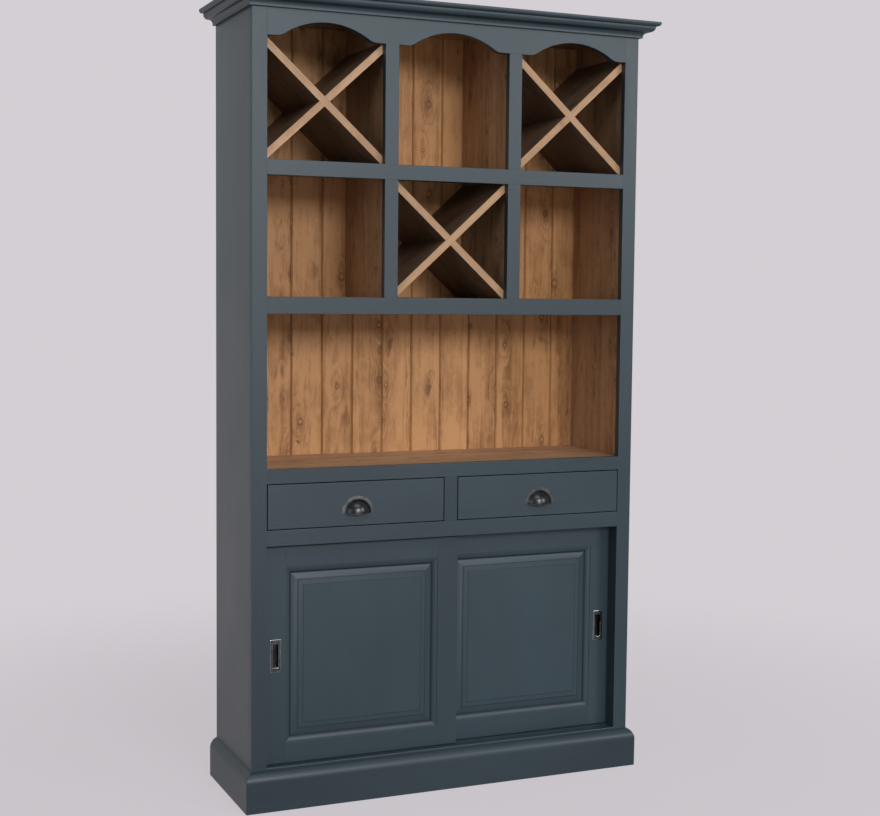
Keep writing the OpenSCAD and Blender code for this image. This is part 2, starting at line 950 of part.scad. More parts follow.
module sight_room() {
  intersection() {
    bar_up(sight_z) sight_outline(sight_x[1] - sight_x[0]);
    bar_along(sight_x) sight_outline(sight_z[1] - sight_z[0]);
  }
  block([sight_x[0] + panel_in, sight_x[1] - panel_in], panel_d,
    [sight_z[0] + panel_in, sight_z[1] - panel_in]);
}

module door_panel() {
  intersection() {
    bar_up([0, door_h]) panel_outline(sight_x[1] - sight_x[0]);
    bar_along([0, door_w]) panel_outline(sight_z[1] - sight_z[0]);
  }
}

// Tongues above and below, between two places across the door
module runners(x) {
  y = [(door_t - runner_t) / 2, (door_t + runner_t) / 2];
  block(x, y, [-lower_runner_h, clear]);
  block(x, y, [door_h - clear, door_h + upper_runner_h]);
}

module door_tenons() {
  for (z = [[tenon_shoulder, door_bottom_w - tenon_shoulder],
      [door_h - door_top_w + tenon_shoulder, door_h - tenon_shoulder]])
    block([door_stile_w - door_tenon_l, door_w - door_stile_w + door_tenon_l], panel_d, z);
}

module front_view(t) {
  translate([0, t, 0]) rotate([90, 0, 0]) linear_extrude(t) children();
}

module door_stile() {
  difference() {
    union() {
      front_view(door_t)
        polygon([[0, 0], [sight_x[0], 0], [sight_x[0], sight_z[0]],
          [sight_x[0] + stick_w, sight_z[0] + stick_w],
          [sight_x[0] + stick_w, sight_z[1] - stick_w],
          [sight_x[0], sight_z[1]], [sight_x[0], door_h], [0, door_h]]);
      runners([0, sight_x[0]]);
    }
    sight_room();
    door_tenons();
  }
}

module door_stiles() {
  difference() {
    door_stile();
    translate([plate_inset, 0, plate_rise]) pull_room();
  }
  translate([door_w, 0, 0]) mirror([1, 0, 0]) door_stile();
}

module door_rails() {
  difference() {
    union() {
      front_view(door_t) {
        polygon([[sight_x[0], 0], [sight_x[1], 0], [sight_x[1], sight_z[0]],
          [sight_x[1] - stick_w, sight_z[0] + stick_w],
          [sight_x[0] + stick_w, sight_z[0] + stick_w], [sight_x[0], sight_z[0]]]);
        polygon([[sight_x[0], door_h], [sight_x[1], door_h], [sight_x[1], sight_z[1]],
          [sight_x[1] - stick_w, sight_z[1] - stick_w],
          [sight_x[0] + stick_w, sight_z[1] - stick_w], [sight_x[0], sight_z[1]]]);
      }
      runners(sight_x);
    }
    sight_room();
  }
  intersection() {
    door_tenons();
    union() {
      block([0, sight_x[0]], panel_d, [0, door_h]);
      block([sight_x[1], door_w], panel_d, [0, door_h]);
    }
  }
}

// Flush pull: a plate let into the stile, with a finger hollow behind it
module pull_room() {
  cup_x = hollow_w / 2 + hollow_t;
  cup_z = hollow_h / 2 + hollow_t;
  plate_back = plate_t - plate_out;
  block([-plate_w / 2, plate_w / 2], [-clear, plate_back], [-plate_h / 2, plate_h / 2]);
  block([-cup_x, cup_x], [-clear, plate_back + hollow_d + hollow_t], [-cup_z, cup_z]);
}

module flush_pull() {
  plate_back = plate_t - plate_out;
  intersection() {
    block([-plate_w, plate_w], [-plate_out, door_t], [-plate_h, plate_h]);
    difference() {
      pull_room();
      block([-hollow_w / 2, hollow_w / 2], [-plate_out - clear, plate_back + hollow_d],
        [-hollow_h / 2, hollow_h / 2]);
    }
  }
}

module on_left_door() {
  translate([-door_edge_x, front_door_y, door_z]) children();
}

module on_right_door() {
  translate([door_edge_x, rear_door_y, door_z]) mirror([1, 0, 0]) children();
}

module door_left_stiles() {
  color(paint) on_left_door() door_stiles();
}

module door_left_rails() {
  color(paint) on_left_door() door_rails();
}

module door_left_panel() {
  color(paint) on_left_door() door_panel();
}

module door_left_pull() {
  color(nickel) on_left_door() translate([plate_inset, 0, plate_rise]) flush_pull();
}

module door_right_stiles() {
  color(paint) on_right_door() door_stiles();
}

module door_right_rails() {
  color(paint) on_right_door() door_rails();
}

module door_right_panel() {
  color(paint) on_right_door() door_panel();
}

module door_right_pull() {
  color(nickel) on_right_door() translate([plate_inset, 0, plate_rise]) flush_pull();
}

plinth_front();
plinth_left();
plinth_right();
side_left();
side_right();
stile_left();
stile_right();
rail_sill();
rail_drawer();
rail_counter();
rail_lower();
rail_upper();
valance();
muntins_lower();
muntins_upper();
drawer_post();
board_bottom();
board_dust();
board_counter();
shelf_cupboard();
shelf_lower();
shelf_upper();
board_top();
dividers_lower();
dividers_upper();
back_boards();
rack_left_rise();
rack_left_fall();
rack_middle_rise();
rack_middle_fall();
rack_right_rise();
rack_right_fall();
crown_front();
crown_left();
crown_right();
cap_board();
drawer_partition();
drawer_guides();
door_track();
door_stops();
drawer_left_front();
drawer_left_sides();
drawer_left_back();
drawer_left_bottom();
drawer_left_pull();
drawer_right_front();
drawer_right_sides();
drawer_right_back();
drawer_right_bottom();
drawer_right_pull();
door_left_stiles();
door_left_rails();
door_left_panel();
door_left_pull();
door_right_stiles();
door_right_rails();
door_right_panel();
door_right_pull();
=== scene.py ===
# %% [markdown]
# # A tall painted bar counter
#
# The piece is a pine cabinet with a serving niche at counter height, two rows of bays above it,
# some of them filled with crossed racks, two drawers and a cupboard with sliding doors.
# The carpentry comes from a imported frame, in metres, and this lesson dresses it: a camera, the
# finishes, boards with eased edges, metal pulls, and last a floor, a backdrop and lamps.

# %% Load the frame
import json
import math

import bmesh
import bpy
from mathutils import Matrix, Vector
from mathutils.bvhtree import BVHTree


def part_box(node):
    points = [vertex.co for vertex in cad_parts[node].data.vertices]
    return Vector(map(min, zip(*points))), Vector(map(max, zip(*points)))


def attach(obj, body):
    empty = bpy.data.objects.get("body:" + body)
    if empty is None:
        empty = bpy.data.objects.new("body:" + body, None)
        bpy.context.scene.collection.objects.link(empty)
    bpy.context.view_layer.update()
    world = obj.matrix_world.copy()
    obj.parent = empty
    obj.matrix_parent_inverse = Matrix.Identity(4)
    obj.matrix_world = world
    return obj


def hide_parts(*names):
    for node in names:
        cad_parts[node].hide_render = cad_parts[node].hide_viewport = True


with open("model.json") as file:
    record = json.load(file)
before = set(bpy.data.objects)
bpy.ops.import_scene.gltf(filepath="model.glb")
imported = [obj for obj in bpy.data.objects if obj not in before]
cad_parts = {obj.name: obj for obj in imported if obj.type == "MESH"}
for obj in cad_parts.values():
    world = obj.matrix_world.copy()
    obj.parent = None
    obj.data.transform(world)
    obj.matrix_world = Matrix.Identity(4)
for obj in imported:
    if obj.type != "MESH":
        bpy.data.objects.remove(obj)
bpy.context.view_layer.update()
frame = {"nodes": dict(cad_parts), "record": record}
nodes = frame["nodes"]
bodies = frame["record"]["behaviour"]["bodies"]
carried_by = {node: body for body, members in bodies.items() for node in members}

# %% [markdown]
# ## Camera
#
# The photograph was taken from the left, a little below the height of a standing eye. A camera
# is best built from its view angles: a turn about the upright, a tilt, and a small roll, each as
# its own rotation, so that every one of them can be read and changed alone.

# %% Camera
PHOTO_WIDTH = 880
FOCAL_PIXELS = 1528.6
SENSOR = 36.0
EYE = Vector((-1.7465, -4.0852, 1.4164))
TURN, TILT, ROLL = 23.511, -4.317, 0.555


def new_object(name, data):
    made = bpy.data.objects.new(name, data)
    bpy.context.collection.objects.link(made)
    return made


camera_data = bpy.data.cameras.new("camera")
camera_data.sensor_width = SENSOR
camera_data.lens = FOCAL_PIXELS * SENSOR / PHOTO_WIDTH
camera = new_object("camera", camera_data)
camera.matrix_world = (
    Matrix.Translation(EYE)
    @ Matrix.Rotation(math.radians(-TURN), 4, "Z")
    @ Matrix.Rotation(math.radians(90 + TILT), 4, "X")
    @ Matrix.Rotation(math.radians(ROLL), 4, "Z")
)
bpy.context.scene.camera = camera
bpy.context.scene.view_settings.view_transform = "Standard"
print("lens:", round(camera_data.lens, 2), "mm")

# %% [markdown]
# ## Nodes made short
#
# Every finish here is a graph of nodes. A few helpers keep the graphs readable. One adds a node
# and fills its inputs with values or with other nodes' sockets, and the others, which build on
# it, are named for what they do.

# %% Helpers for single nodes
def fill(tree, made, inputs):
    for key, value in inputs.items():
        if isinstance(value, bpy.types.NodeSocket):
            tree.links.new(value, made.inputs[key])
        else:
            made.inputs[key].default_value = value
    return made


def add(tree, kind, inputs=None, **settings):
    made = tree.nodes.new(kind)
    for name, value in settings.items():
        setattr(made, name, value)
    return fill(tree, made, inputs or {})


def maths(tree, operation, first, second=0.0, third=0.0):
    inputs = {0: first, 1: second, 2: third}
    return add(tree, "ShaderNodeMath", inputs, operation=operation).outputs[0]


def vector_maths(tree, operation, first, second):
    inputs = {0: first, 1: second}
    return add(tree, "ShaderNodeVectorMath", inputs, operation=operation).outputs[0]


def length_of(tree, vector):
    return add(tree, "ShaderNodeVectorMath", {0: vector}, operation="LENGTH").outputs["Value"]


def noise_in(tree, vector, scale, detail=3.0, roughness=0.55):
    """Noise with a scale of its own along each axis."""
    place = vector_maths(tree, "MULTIPLY", vector, scale)
    inputs = {"Vector": place, "Scale": 1.0, "Detail": detail, "Roughness": roughness}
    return add(tree, "ShaderNodeTexNoise", inputs).outputs["Fac"]


def remap(tree, value, low, high, to_low, to_high, smooth=False):
    inputs = {
        "Value": value, "From Min": low, "From Max": high, "To Min": to_low, "To Max": to_high}
    style = "SMOOTHSTEP" if smooth else "LINEAR"
    return add(tree, "ShaderNodeMapRange", inputs, interpolation_type=style).outputs["Result"]


print("helpers:", [helper.__name__ for helper in (add, maths, vector_maths, noise_in, remap)])

# %% [markdown]
# Colours are written as a paint chart gives them and turned into the linear values that nodes
# take. A node group is used where several finishes share one effect, and every group here gives
# back the same three things: a colour, a roughness and a height for the relief.

# %% Helpers for colours and groups
FINISH_OUTPUTS = [
    ("Color", "NodeSocketColor"), ("Roughness", "NodeSocketFloat"), ("Height", "NodeSocketFloat")]


def blend_colors(tree, factor, first, second, mode="MIX"):
    made = add(tree, "ShaderNodeMix", data_type="RGBA", blend_type=mode)
    return fill(tree, made, {0: factor, 6: first, 7: second}).outputs[2]


def times(tree, color, factor):
    return blend_colors(tree, 1.0, color, factor, "MULTIPLY")


def blend_values(tree, factor, first, second):
    return add(tree, "ShaderNodeMix", {0: factor, 2: first, 3: second}).outputs[0]


def start_group(name, inputs, outputs):
    tree = bpy.data.node_groups.new(name, "ShaderNodeTree")
    for label, kind, value in inputs:
        socket = tree.interface.new_socket(label, in_out="INPUT", socket_type=kind)
        if value is not None:
            socket.default_value = value
    for label, kind in outputs:
        tree.interface.new_socket(label, in_out="OUTPUT", socket_type=kind)
    return tree, tree.nodes.new("NodeGroupInput").outputs, tree.nodes.new("NodeGroupOutput")


def srgb(red, green, blue):
    """A colour in steps of 255, as the linear colour that nodes take."""
    def linear(step):
        share = step / 255
        return share / 12.92 if share <= 0.04045 else ((share + 0.055) / 1.055) ** 2.4
    return (linear(red), linear(green), linear(blue), 1.0)


print("a finish gives:", [label for label, kind in FINISH_OUTPUTS])

# %% [markdown]
# ## Brushed paint
#
# The outside is painted by brush over pine. Up close such paint has fine ridges along the stroke
# and a slow drift in tone and gloss. It thins on the edges of a board, where the next coat takes
# less, and the group paints these edges lighter, which is partly a painted highlight. In the
# hollows it paints shade, as a darker and duller coat. One group makes all of it from noise that
# is stretched along the stroke, and every painted part uses it with its own stroke direction.

# %% Group for brushed paint
LIGHTER, DARKER = (1.16, 1.14, 1.12, 1), (0.84, 0.86, 0.88, 1)
# Edges are painted lighter, partly as a painted highlight, and hollows darker, as painted shade.
THINNED_AND_HIGHLIT, PAINTED_SHADE = (1.7, 1.62, 1.55, 1), (0.13, 0.14, 0.15, 1)
DRIFT, STROKES, PORES = (3, 3, 1.6), (260, 260, 7), (900, 900, 300)
PAINT_ROUGH = (0.31, 0.39)
STROKES_ROUGHEN, SHADE_ROUGHENS = 0.1, 0.4


def make_paint_group():
    tree, source, result = start_group(
        "brushed paint",
        [
            ("Position", "NodeSocketVector", None),
            ("Paint", "NodeSocketColor", (0.04, 0.06, 0.07, 1)),
            ("Edge", "NodeSocketFloat", 0.0),
            ("Painted shade", "NodeSocketFloat", 0.0),
        ],
        FINISH_OUTPUTS,
    )
    place, paint_color = source["Position"], source["Paint"]
    drift = noise_in(tree, place, DRIFT)
    strokes = noise_in(tree, place, STROKES, 4, 0.6)
    pores = noise_in(tree, place, PORES, 2)

    tone = maths(tree, "MULTIPLY_ADD", drift, 0.7, maths(tree, "MULTIPLY", strokes, 0.3))
    dark, light = times(tree, paint_color, DARKER), times(tree, paint_color, LIGHTER)
    coat = blend_colors(tree, remap(tree, tone, 0.3, 0.7, 0, 1), dark, light)
    # The edges are painted lighter: partly thinner paint, partly a painted highlight.
    thinned_and_highlit = maths(tree, "MULTIPLY", source["Edge"], remap(tree, drift, 0.35, 0.65, 0.35, 0.9))
    coat = blend_colors(tree, thinned_and_highlit, coat, times(tree, paint_color, THINNED_AND_HIGHLIT))
    # The hollows are painted darker and duller: painted shade.
    coat = blend_colors(tree, source["Painted shade"], coat, times(tree, paint_color, PAINTED_SHADE))

    rough = remap(tree, drift, 0.3, 0.7, *PAINT_ROUGH)
    rough = maths(tree, "MULTIPLY_ADD", strokes, STROKES_ROUGHEN, rough)
    rough = maths(tree, "MULTIPLY_ADD", source["Painted shade"], SHADE_ROUGHENS, rough)
    height = maths(tree, "MULTIPLY_ADD", pores, 0.15, strokes)
    fill(tree, result, {"Color": coat, "Roughness": rough, "Height": height})
    return tree


paint_group = make_paint_group()
print("group:", paint_group.name, "with", len(paint_group.nodes), "nodes")

# %% [markdown]
# ## Pine
#
# A pine board is a slice of a trunk, and its figure can be worked out that way. The distance from
# the middle of the trunk, bent by slow noise, gives the year rings, which show as long arches on
# a flat face. A knot is where a branch left the trunk: its place comes from a cell pattern, and
# the rings flow round it. Panels are joined from boards, so the face is split into boards of one
# width, and each gets its own slice of trunk and its own tone.
#
# Inside the group X runs across the board, Y out of its face and Z along the grain.

# %% One board of a panel
BOARD_TONES = (0.92, 1.1)
SEEDS_A_SLICE = 31.0


def board_of(tree, source, across):
    """Where a place is across its board, -0.5 to 0.5, and that board's seed, luck and tone."""
    row = maths(tree, "SUBTRACT", across, source["Joint"])
    row = maths(tree, "DIVIDE", row, source["Board width"])
    board = maths(tree, "FLOOR", row)
    share = maths(tree, "SUBTRACT", maths(tree, "SUBTRACT", row, board), 0.5)
    seed = maths(tree, "MULTIPLY_ADD", source["Slice"], SEEDS_A_SLICE, board)
    chance = add(tree, "ShaderNodeTexWhiteNoise", {"W": seed}, noise_dimensions="1D").outputs
    luck = add(tree, "ShaderNodeSeparateColor", {0: chance["Color"]}).outputs
    return share, seed, luck, remap(tree, chance["Value"], 0.0, 1.0, *BOARD_TONES)


print("tones of the boards:", BOARD_TONES)

# %% [markdown]
# The rings fade in slowly, from early to late wood, and end sharply with the winter. Some run
# strong and some are hardly there, which another slow noise takes care of.

# %% Year rings
RINGS_A_METRE = 215
BEND, RIPPLE, PITH_SHIFT, LEAN = 0.05, 0.006, 0.08, 0.03
PITH_NEAREST, PITH_SPREAD = 0.032, 0.04
RING_BULGE = 1.5


def swing(tree, value, width):
    """Turns a value of 0 to 1 into a swing of that width about 0."""
    return maths(tree, "MULTIPLY_ADD", value, width, -width / 2)


def rings_of(tree, spot, middle, parts, luck, bulge):
    """The late wood, 0 to 1, in a trunk whose middle wanders and leans. Knots bulge the rings."""
    bend = swing(tree, noise_in(tree, spot, (4, 4, 1.2), 2), BEND)
    ripple = swing(tree, noise_in(tree, spot, (26, 26, 4.5), 3), RIPPLE)
    pith = swing(tree, luck[0], PITH_SHIFT)
    across = maths(tree, "ADD", maths(tree, "ADD", middle, pith), bend)
    lean = maths(tree, "MULTIPLY", maths(tree, "SUBTRACT", luck[1], 0.5), parts[2])
    depth = maths(tree, "MULTIPLY_ADD", luck[1], PITH_SPREAD, PITH_NEAREST)
    depth = maths(tree, "ADD", maths(tree, "MULTIPLY_ADD", lean, LEAN, depth), parts[1])

    squares = [maths(tree, "POWER", side, 2.0) for side in (across, depth)]
    radius = maths(tree, "ADD", maths(tree, "SQRT", maths(tree, "ADD", *squares)), ripple)
    radius = maths(tree, "MULTIPLY_ADD", bulge, RING_BULGE, radius)
    year = maths(tree, "FRACT", maths(tree, "MULTIPLY", radius, RINGS_A_METRE))
    winter = remap(tree, year, 0.9, 1.0, 1.0, 0.0, True)
    late = maths(tree, "MULTIPLY", maths(tree, "POWER", year, 2.0), winter)
    strong = remap(tree, noise_in(tree, spot, (22, 22, 2), 2), 0.3, 0.7, 0.35, 1.0)
    return maths(tree, "MULTIPLY", late, strong)


print("rings:", round(1000 / RINGS_A_METRE, 1), "mm apart")

# %% [markdown]
# A cell pattern that is stretched along the grain sets the knots apart. Round each one the wood
# is darker, in a halo drawn out along the grain. The knot itself is a light or a dead core
# inside a ring of bark.

# %% Knots
KNOT_CELLS = (11.0, 1.0, 8.0)
KNOT_SCATTER = 0.85
KNOT_SIZES = (0.0005, 0.0135)
KNOT_RAGGED = 0.005
ROUND_KNOT, LONG_HALO = (1, 0, 0.8), (1, 0, 0.33)
HALO_REACH, BULGE_REACH = 1.5, 2.2
BARK_AT = 0.9


def knots_of(tree, spot):
    """The nearest knot: how far off it is, the same drawn out along the grain, its size and age."""
    place = vector_maths(tree, "MULTIPLY", spot, KNOT_CELLS)
    inputs = {"Vector": place, "Scale": 1.0, "Randomness": KNOT_SCATTER}
    cells = add(tree, "ShaderNodeTexVoronoi", inputs).outputs
    middle = vector_maths(tree, "DIVIDE", cells["Position"], KNOT_CELLS)
    offset = vector_maths(tree, "SUBTRACT", spot, middle)
    ragged = noise_in(tree, spot, (120, 120, 90), 2)
    distances = []
    for shape in (ROUND_KNOT, LONG_HALO):
        distance = length_of(tree, vector_maths(tree, "MULTIPLY", offset, shape))
        distances.append(maths(tree, "MULTIPLY_ADD", ragged, KNOT_RAGGED, distance))
    chance = add(tree, "ShaderNodeSeparateColor", {0: cells["Color"]}).outputs
    size = remap(tree, chance[0], 0.3, 1.0, *KNOT_SIZES)
    return {"off": distances[0], "stretched": distances[1], "size": size, "age": chance[1]}


def falloff(tree, distance, reach):
    """1 at the middle, falling off smoothly over the reach."""
    share = maths(tree, "DIVIDE", distance, reach)
    square = maths(tree, "POWER", share, 2.0)
    return maths(tree, "EXPONENT", maths(tree, "MULTIPLY", square, -1.0))


def bulge_of(tree, knot):
    """How far the rings swell out round a knot."""
    reach = maths(tree, "MULTIPLY_ADD", knot["size"], BULGE_REACH, 0.001)
    return maths(tree, "MULTIPLY", knot["size"], falloff(tree, knot["stretched"], reach))


def draw_knot(tree, source, wood, mottle, knot):
    size = knot["size"]
    halo = falloff(tree, knot["stretched"], maths(tree, "MULTIPLY", size, HALO_REACH))
    halo = maths(tree, "MULTIPLY", halo, remap(tree, mottle, 0.35, 0.6, 0.25, 0.95))
    wood = blend_colors(tree, halo, wood, source["Late wood"])

    present = remap(tree, size, 0.001, 0.004, 0.0, 1.0)
    reach = maths(tree, "DIVIDE", knot["off"], maths(tree, "ADD", size, 0.0005))
    core = maths(tree, "MULTIPLY", remap(tree, reach, 0.5, BARK_AT, 1.0, 0.0, True), present)
    dead = remap(tree, knot["age"], 0.6, 0.8, 0.1, 0.75)
    heart = blend_colors(tree, dead, source["Early wood"], source["Knot"])
    wood = blend_colors(tree, maths(tree, "MULTIPLY", core, 0.8), wood, heart)

    from_bark = maths(tree, "ABSOLUTE", maths(tree, "SUBTRACT", reach, BARK_AT))
    bark = remap(tree, from_bark, 0.0, 0.4, 0.5, 0.0, True)
    bark = maths(tree, "MULTIPLY", bark, present)
    return blend_colors(tree, bark, wood, source["Knot"]), core


print("largest knot:", round(2000 * KNOT_SIZES[1]), "mm across")

# %% [markdown]
# The group puts it together. Noise in four sizes breaks up the rings: fibres, long streaks,
# clouds and mottle. Wax and dirt settle in the joints between the boards.

# %% Group for the figure of pine
TRUNKS_APART, BOARD_SHIFT = 1.7, 9.0
FIBRES, STREAKS = (640, 640, 9), (75, 75, 1.7)
CLOUDS, MOTTLE = (11, 11, 3.5), (60, 60, 26)
JOINT_DIRT = 0.0075
WOOD_ROUGH = (0.46, 0.62)


def make_pine_group():
    tree, source, result = start_group(
        "pine figure",
        [
            ("Position", "NodeSocketVector", None),
            ("Early wood", "NodeSocketColor", (0.5, 0.3, 0.15, 1)),
            ("Late wood", "NodeSocketColor", (0.3, 0.15, 0.07, 1)),
            ("Knot", "NodeSocketColor", (0.09, 0.04, 0.02, 1)),
            ("Board width", "NodeSocketFloat", 0.09),
            ("Joint", "NodeSocketFloat", 0.0),
            ("Joint shade", "NodeSocketFloat", 0.0),
            ("Slice", "NodeSocketFloat", 0.0),
        ],
        FINISH_OUTPUTS,
    )
    parts = add(tree, "ShaderNodeSeparateXYZ", {0: source["Position"]}).outputs
    share, seed, luck, tone = board_of(tree, source, parts[0])
    middle = maths(tree, "MULTIPLY", share, source["Board width"])
    apart = maths(tree, "MULTIPLY_ADD", seed, TRUNKS_APART, middle)
    along = maths(tree, "MULTIPLY_ADD", luck[2], BOARD_SHIFT, parts[2])
    spot = add(tree, "ShaderNodeCombineXYZ", {0: apart, 1: parts[1], 2: along}).outputs[0]
    knot = knots_of(tree, spot)
    late = rings_of(tree, spot, middle, parts, luck, bulge_of(tree, knot))

    fibres = noise_in(tree, spot, FIBRES, 4, 0.65)
    streaks = noise_in(tree, spot, STREAKS, 4, 0.6)
    clouds = noise_in(tree, spot, CLOUDS, 3)
    mottle = noise_in(tree, spot, MOTTLE, 4, 0.65)
    figure = maths(tree, "MULTIPLY_ADD", fibres, 0.3, -0.13)
    figure = maths(tree, "MULTIPLY_ADD", late, 0.62, figure)
    for grain, least, most in ((streaks, -0.2, 0.26), (clouds, -0.28, 0.38), (mottle, -0.26, 0.24)):
        figure = maths(tree, "ADD", figure, remap(tree, grain, 0.3, 0.7, least, most))
    wood = blend_colors(tree, figure, source["Early wood"], source["Late wood"])
    wood, core = draw_knot(tree, source, wood, mottle, knot)
    wood = times(tree, wood, tone)

    from_joint = maths(tree, "SUBTRACT", 0.5, maths(tree, "ABSOLUTE", share))
    from_joint = maths(tree, "MULTIPLY", from_joint, source["Board width"])
    dirt_and_shade = remap(tree, from_joint, 0.0, JOINT_DIRT, 1.0, 0.0, True)
    dirt_and_shade = maths(tree, "MULTIPLY", dirt_and_shade, source["Joint shade"])
    wood = blend_colors(tree, dirt_and_shade, wood, source["Knot"])
    rough = remap(tree, figure, 0.0, 1.0, *WOOD_ROUGH)
    height = maths(tree, "MULTIPLY_ADD", late, 0.4, fibres)
    height = maths(tree, "MULTIPLY_ADD", core, 0.5, height)
    fill(tree, result, {"Color": wood, "Roughness": rough, "Height": height})
    return tree


pine_group = make_pine_group()
print("group:", pine_group.name, "with", len(pine_group.nodes), "nodes")

# %% [markdown]
# ## Finishes
#
# The grain of a board runs along its length, and the brush follows the grain. So each finish is
# made for one direction: upright, across or from front to back. The pattern is turned by handing
# the three coordinates over in another order, which is easier to follow than angles: the order
# "yzx" takes Y as across the board, Z as out of its face and X as along its grain.

# %% Colours and orders
SLATE = srgb(42, 57, 64)


def wood_tones(early, late, knot):
    return {"Early wood": srgb(*early), "Late wood": srgb(*late), "Knot": srgb(*knot)}


HONEY = wood_tones((188, 140, 94), (126, 85, 51), (88, 54, 31))
WAXED = wood_tones((176, 142, 109), (120, 93, 68), (82, 58, 41))
# The dark brown of the rack faces is a painted shade, for the shadow the boards cast.
SHADED_RACK_PINE = wood_tones((108, 87, 70), (82, 64, 50), (60, 44, 33))
PALE = wood_tones((176, 141, 110), (142, 108, 80), (96, 66, 46))
RACK_FRONT_PINE = wood_tones((166, 128, 91), (134, 98, 66), (96, 64, 42))
PAINT_GLOSS, WAX_GLOSS, DULL_GLOSS = 0.35, 0.5, 0.2
ORDERS = {"upright": "xyz", "across": "zyx", "deep": "zxy"}
print("directions:", ", ".join(ORDERS))

# %% [markdown]
# Marks on the mesh steer the finishes: "arris" is 1 on the eased edges of a board, "tone" says
# how much lighter or darker than the chart a board is painted, which is painted light and shade,
# and "front" is 1 on the faces that look forward.

# %% Helpers for materials
PAINT_RELIEF, WOOD_RELIEF = 0.25, 0.3
RELIEF_DEPTH = 0.0006


def start_material(name, gloss=WAX_GLOSS):
    material = bpy.data.materials.new(name)
    material.use_nodes = True
    tree = material.node_tree
    shader = tree.nodes["Principled BSDF"]
    shader.inputs["Specular IOR Level"].default_value = gloss
    place = add(tree, "ShaderNodeTexCoord").outputs["Object"]
    return material, tree, shader, place


def reorder(tree, place, order):
    parts = add(tree, "ShaderNodeSeparateXYZ", {0: place}).outputs
    chosen = {slot: parts["xyz".index(axis)] for slot, axis in enumerate(order)}
    return add(tree, "ShaderNodeCombineXYZ", chosen).outputs[0]


def relief(tree, shader, height, strength=WOOD_RELIEF, depth=RELIEF_DEPTH):
    bump = add(
        tree, "ShaderNodeBump", {"Height": height, "Strength": strength, "Distance": depth})
    tree.links.new(bump.outputs["Normal"], shader.inputs["Normal"])


def use_group(tree, group, inputs):
    return fill(tree, add(tree, "ShaderNodeGroup", node_tree=group), inputs).outputs


def finish_from(tree, shader, found, strength=WOOD_RELIEF):
    fill(tree, shader, {"Base Color": found["Color"], "Roughness": found["Roughness"]})
    relief(tree, shader, found["Height"], strength)


def mark_of(tree, name):
    return add(tree, "ShaderNodeAttribute", attribute_name=name).outputs["Fac"]


def paint_inputs(tree, place, order):
    # The tone mark paints a board lighter or darker: painted light and shade.
    slate = times(tree, SLATE, maths(tree, "ADD", mark_of(tree, "tone"), 1.0))
    return {
        "Position": reorder(tree, place, order), "Paint": slate, "Edge": mark_of(tree, "arris")}


print("relief:", RELIEF_DEPTH * 1000, "mm deep")

# %% [markdown]
# The paint is brushed along each board, so it is made in all three directions. Where a part has
# hollows that get painted shade, a function that finds them can be handed in, as the doors do next.

# %% Finishes for paint
def make_paint(direction, where="", hollow=lambda tree, place: 0.0):
    material, tree, shader, place = start_material(f"slate paint {direction}{where}", PAINT_GLOSS)
    inputs = paint_inputs(tree, place, ORDERS[direction])
    inputs["Painted shade"] = hollow(tree, place)
    finish_from(tree, shader, use_group(tree, paint_group, inputs), PAINT_RELIEF)
    return material


paint = {direction: make_paint(direction) for direction in ORDERS}
print("paints:", [material.name for material in paint.values()])

# %% [markdown]
# Shade falls into the corners of a door, and it is painted there: round the panel where it goes
# into the frame, at the foot of its two fine steps, and along the top, where the rail that the door
# slides behind casts its shadow. All these places are told by distances: inwards from the outline
# of the panel, and down from the rail. Each line of the panel is given by how far in it lies, how
# far it spreads and how dark it is.

# %% Finishes for the doors
PANEL_LINES = ((0.0065, 0.0055, 0.75), (0.027, 0.0032, 0.55), (0.0422, 0.003, 0.45))
RAIL_SHADOW_FROM, RAIL_SHADOW_TO = 0.010, 0.004
MOULDING_DEEP = 0.012


def painted_shade_of(side):
    low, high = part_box(f"door_{side}_panel")
    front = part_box(f"door_{side}_stiles")[0][1]
    under_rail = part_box("rail_drawer")[0][2]
    fade = (under_rail - RAIL_SHADOW_FROM, under_rail - RAIL_SHADOW_TO)

    def hollow(tree, place):
        parts = add(tree, "ShaderNodeSeparateXYZ", {0: place}).outputs
        inwards = []
        for axis in (0, 2):
            middle, half = (low[axis] + high[axis]) / 2, (high[axis] - low[axis]) / 2
            away = maths(tree, "ABSOLUTE", maths(tree, "SUBTRACT", parts[axis], middle))
            inwards.append(maths(tree, "SUBTRACT", half, away))
        inwards = maths(tree, "MINIMUM", *inwards)
        # painted shadow under the rail, and painted shade along the lines round the panel
        shade_mask = remap(tree, parts[2], *fade, 0.0, 1.0, True)
        for line, reach, strength in PANEL_LINES:
            off = maths(tree, "ABSOLUTE", maths(tree, "SUBTRACT", inwards, line))
            dirt_and_shade = remap(tree, off, 0.0, reach, strength, 0.0, True)
            shade_mask = maths(tree, "MAXIMUM", shade_mask, dirt_and_shade)
        in_front = maths(tree, "LESS_THAN", parts[1], front + MOULDING_DEEP)
        return maths(tree, "MULTIPLY", shade_mask, in_front)

    return hollow


door_paint = {
    (side, direction): make_paint(direction, f" {side} door", painted_shade_of(side))
    for side in ("left", "right") for direction in ("upright", "across")}
print("door paints:", len(door_paint))

# %% [markdown]
# The inside is waxed. Shelves and the counter are joined from boards that run across, dividers
# from upright ones, and the back from tongued boards with a V along each joint, whose places the
# pattern has to meet.

# %% Finishes for waxed pine
BACK_BOARD_WIDTH = 0.095
BACK_BOARD_JOINT = 0.0175
STAVE = 0.075
slices = iter(range(1, 100))


def wood_inputs(tree, place, order, tones):
    return {
        "Position": reorder(tree, place, order), "Board width": STAVE, "Slice": next(slices),
        **tones}


def make_pine(name, order, tones=WAXED, gloss=WAX_GLOSS, **settings):
    material, tree, shader, place = start_material(name, gloss)
    inputs = {**wood_inputs(tree, place, order, tones), **settings}
    finish_from(tree, shader, use_group(tree, pine_group, inputs))
    return material


